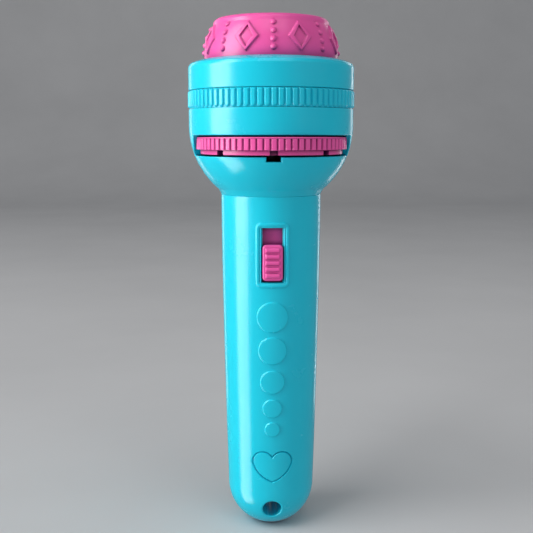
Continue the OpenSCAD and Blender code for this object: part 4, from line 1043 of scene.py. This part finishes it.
def switch_slider():
    edge_r, ridge_half_h, ridge_half_w, ridge_height, ridge_end = 0.55, 0.36, 1.95, 0.45, 0.35
    x, z, inset = round_corner_grid(KNOB_W / 2, KNOB_H / 2, 1.0, 54, 110)
    from_ridge = z / KNOB_RIDGE_PITCH - np.round(z / KNOB_RIDGE_PITCH)
    in_row = (np.abs(z) < 2.5 * KNOB_RIDGE_PITCH) & (np.abs(x) < ridge_half_w)
    ends = smooth_step((ridge_half_w - np.abs(x)) / ridge_end)
    ridges = np.where(in_row, bead(from_ridge, ridge_half_h), 0) * ridge_height * ends
    front_y = KNOB_FRONT_Y + lip(inset, edge_r) - ridges
    knob = slab(x, front_y, z + KNOB_Z + KNOB_H / 2, PLATE_Y + 0.3)
    obj = make_object("switch_knob", *knob, "pink_plastic", "switch", "switch_slider")
    x, z, inset = round_corner_grid(PLATE_W / 2, (PLATE_TOP - PLATE_Z) / 2, 0.4, 12, 28)
    add_part(obj, slab(x, PLATE_Y + lip(inset, 0.12), z + (PLATE_Z + PLATE_TOP) / 2, PLATE_Y + PLATE_T))


# ---- CAD nodes that stay: their own shapes, with broken edges ----

def dress_cad_nodes():
    slots = {s["node"]: s["material_slot"] for s in frame["record"]["subparts"]}
    for name, obj in frame["nodes"].items():
        if obj.hide_render:
            continue
        obj.data.materials.clear()
        obj.data.materials.append(MATERIALS[slots[name]])
        join = obj.modifiers.new("join_points", "WELD")
        join.merge_threshold = 0.0005 * MM
        edge = obj.modifiers.new("broken_edges", "BEVEL")
        edge.width = min(0.12 * MM, 0.012 * max(obj.dimensions))
        edge.segments = 2
        edge.limit_method = "ANGLE"
        edge.angle_limit = math.radians(40)
        edge.use_clamp_overlap = True
        edge.harden_normals = False


# ---- Stage, light and camera ----

def make_stage():
    """A pale floor that curves up into the backdrop."""
    floor_material = bpy.data.materials.new("pale_floor")
    floor_material.use_nodes = True
    tree = floor_material.node_tree
    shader = tree.nodes["Principled BSDF"]
    tone = noise(tree, place(tree), 9, 4)
    grey = ramp(tree, tone, (0.3, (0.58, 0.58, 0.585)), (0.7, (0.62, 0.62, 0.625)))
    tree.links.new(grey, shader.inputs["Base Color"])
    shader.inputs["Roughness"].default_value = 0.6
    near, far, bend, top, half = -1.2, 1.1, 0.5, 2.2, 2.5
    side = [(near, 0.0), (far, 0.0)]
    side += [(far + bend * math.sin(a), bend * (1 - math.cos(a)))
             for a in np.linspace(0, math.pi / 2, 16)[1:]]
    side += [(far + bend, top)]
    points = [(x, y, z) for y, z in side for x in (-half, half)]
    faces = [[2 * i, 2 * i + 1, 2 * i + 3, 2 * i + 2] for i in range(len(side) - 1)]
    mesh = bpy.data.meshes.new("floor")
    mesh.from_pydata(points, [], faces)
    mesh.shade_smooth()
    floor = new_object("floor", mesh)
    floor.data.materials.append(floor_material)
    floor.visible_glossy = False
    return floor


def softbox(name, angle, distance, height, size, power, colour=(1, 1, 1), aim=0.08, in_gloss=True):
    """An area light aimed at the object's axis, at an angle left of the camera's direction, in degrees."""
    light = bpy.data.lights.new(name, "AREA")
    light.shape = "RECTANGLE"
    light.size, light.size_y = size
    light.energy = power
    light.color = colour
    obj = new_object(name, light)
    a = math.radians(angle)
    obj.location = (-distance * math.sin(a), -distance * math.cos(a), height)
    obj.rotation_euler = (Vector((0, 0, aim)) - obj.location).to_track_quat("-Z", "Y").to_euler()
    obj.visible_camera = False
    obj.visible_glossy = in_gloss
    return obj


def link_floor(light, floor, state):
    """Keeps a light off the floor (EXCLUDE), or on the floor alone (INCLUDE)."""
    receivers = bpy.data.collections.new(light.name + "_receivers")
    receivers.objects.link(floor)
    receivers.collection_objects[0].light_linking.link_state = state
    light.light_linking.receiver_collection = receivers


def make_lights(floor):
    # The key and the rims reach below the floor, so that their streaks run down the whole handle. They would
    # burn the floor out where they cross it, so the floor has a softbox of its own.
    warm = (1.0, 1.0, 0.93)
    off_floor = [
        softbox("key_left", 73, 0.42, 0.12, (0.25, 1.1), 5.6, warm, aim=0.12),
        softbox("rim_left", 150, 0.6, 0.12, (0.05, 0.6), 0.25),
        softbox("rim_right", -148, 0.6, 0.12, (0.05, 0.6), 0.35),
    ]
    on_floor = softbox("floor_light", 60, 0.9, 0.9, (0.9, 0.9), 10.0, aim=0.0)
    softbox("top", -5, 0.3, 0.8, (0.5, 0.5), 1.0)
    softbox("fill_right", -50, 0.9, 0.5, (1.0, 0.9), 2.6, in_gloss=False)
    off_floor.append(softbox("fill_low", 55, 0.5, 0.06, (0.3, 0.08), 0.35, in_gloss=False))
    for light in off_floor:
        link_floor(light, floor, "EXCLUDE")
    link_floor(on_floor, floor, "INCLUDE")
    world = bpy.data.worlds.new("studio")
    bpy.context.scene.world = world
    world.use_nodes = True
    background = world.node_tree.nodes["Background"]
    background.inputs["Color"].default_value = (0.92, 0.95, 1.0, 1)
    background.inputs["Strength"].default_value = 0.21


def make_camera():
    data = bpy.data.cameras.new("camera")
    data.lens, data.sensor_width = 56.06, 36.0
    data.clip_start, data.clip_end = 0.01, 20
    camera = new_object("camera", data)
    camera.location = (-0.00785, -0.22486, 0.1082)
    camera.rotation_euler = (math.radians(90 - 8.98), 0, math.radians(-1.69))
    bpy.context.scene.camera = camera


make_materials()
handle_front()
head_cup()
head_collar()
focus_ring()
slide_wheel()
lens_cap()
switch_slider()
dress_cad_nodes()
make_lights(make_stage())
make_camera()
bpy.context.scene.view_settings.view_transform = "Standard"
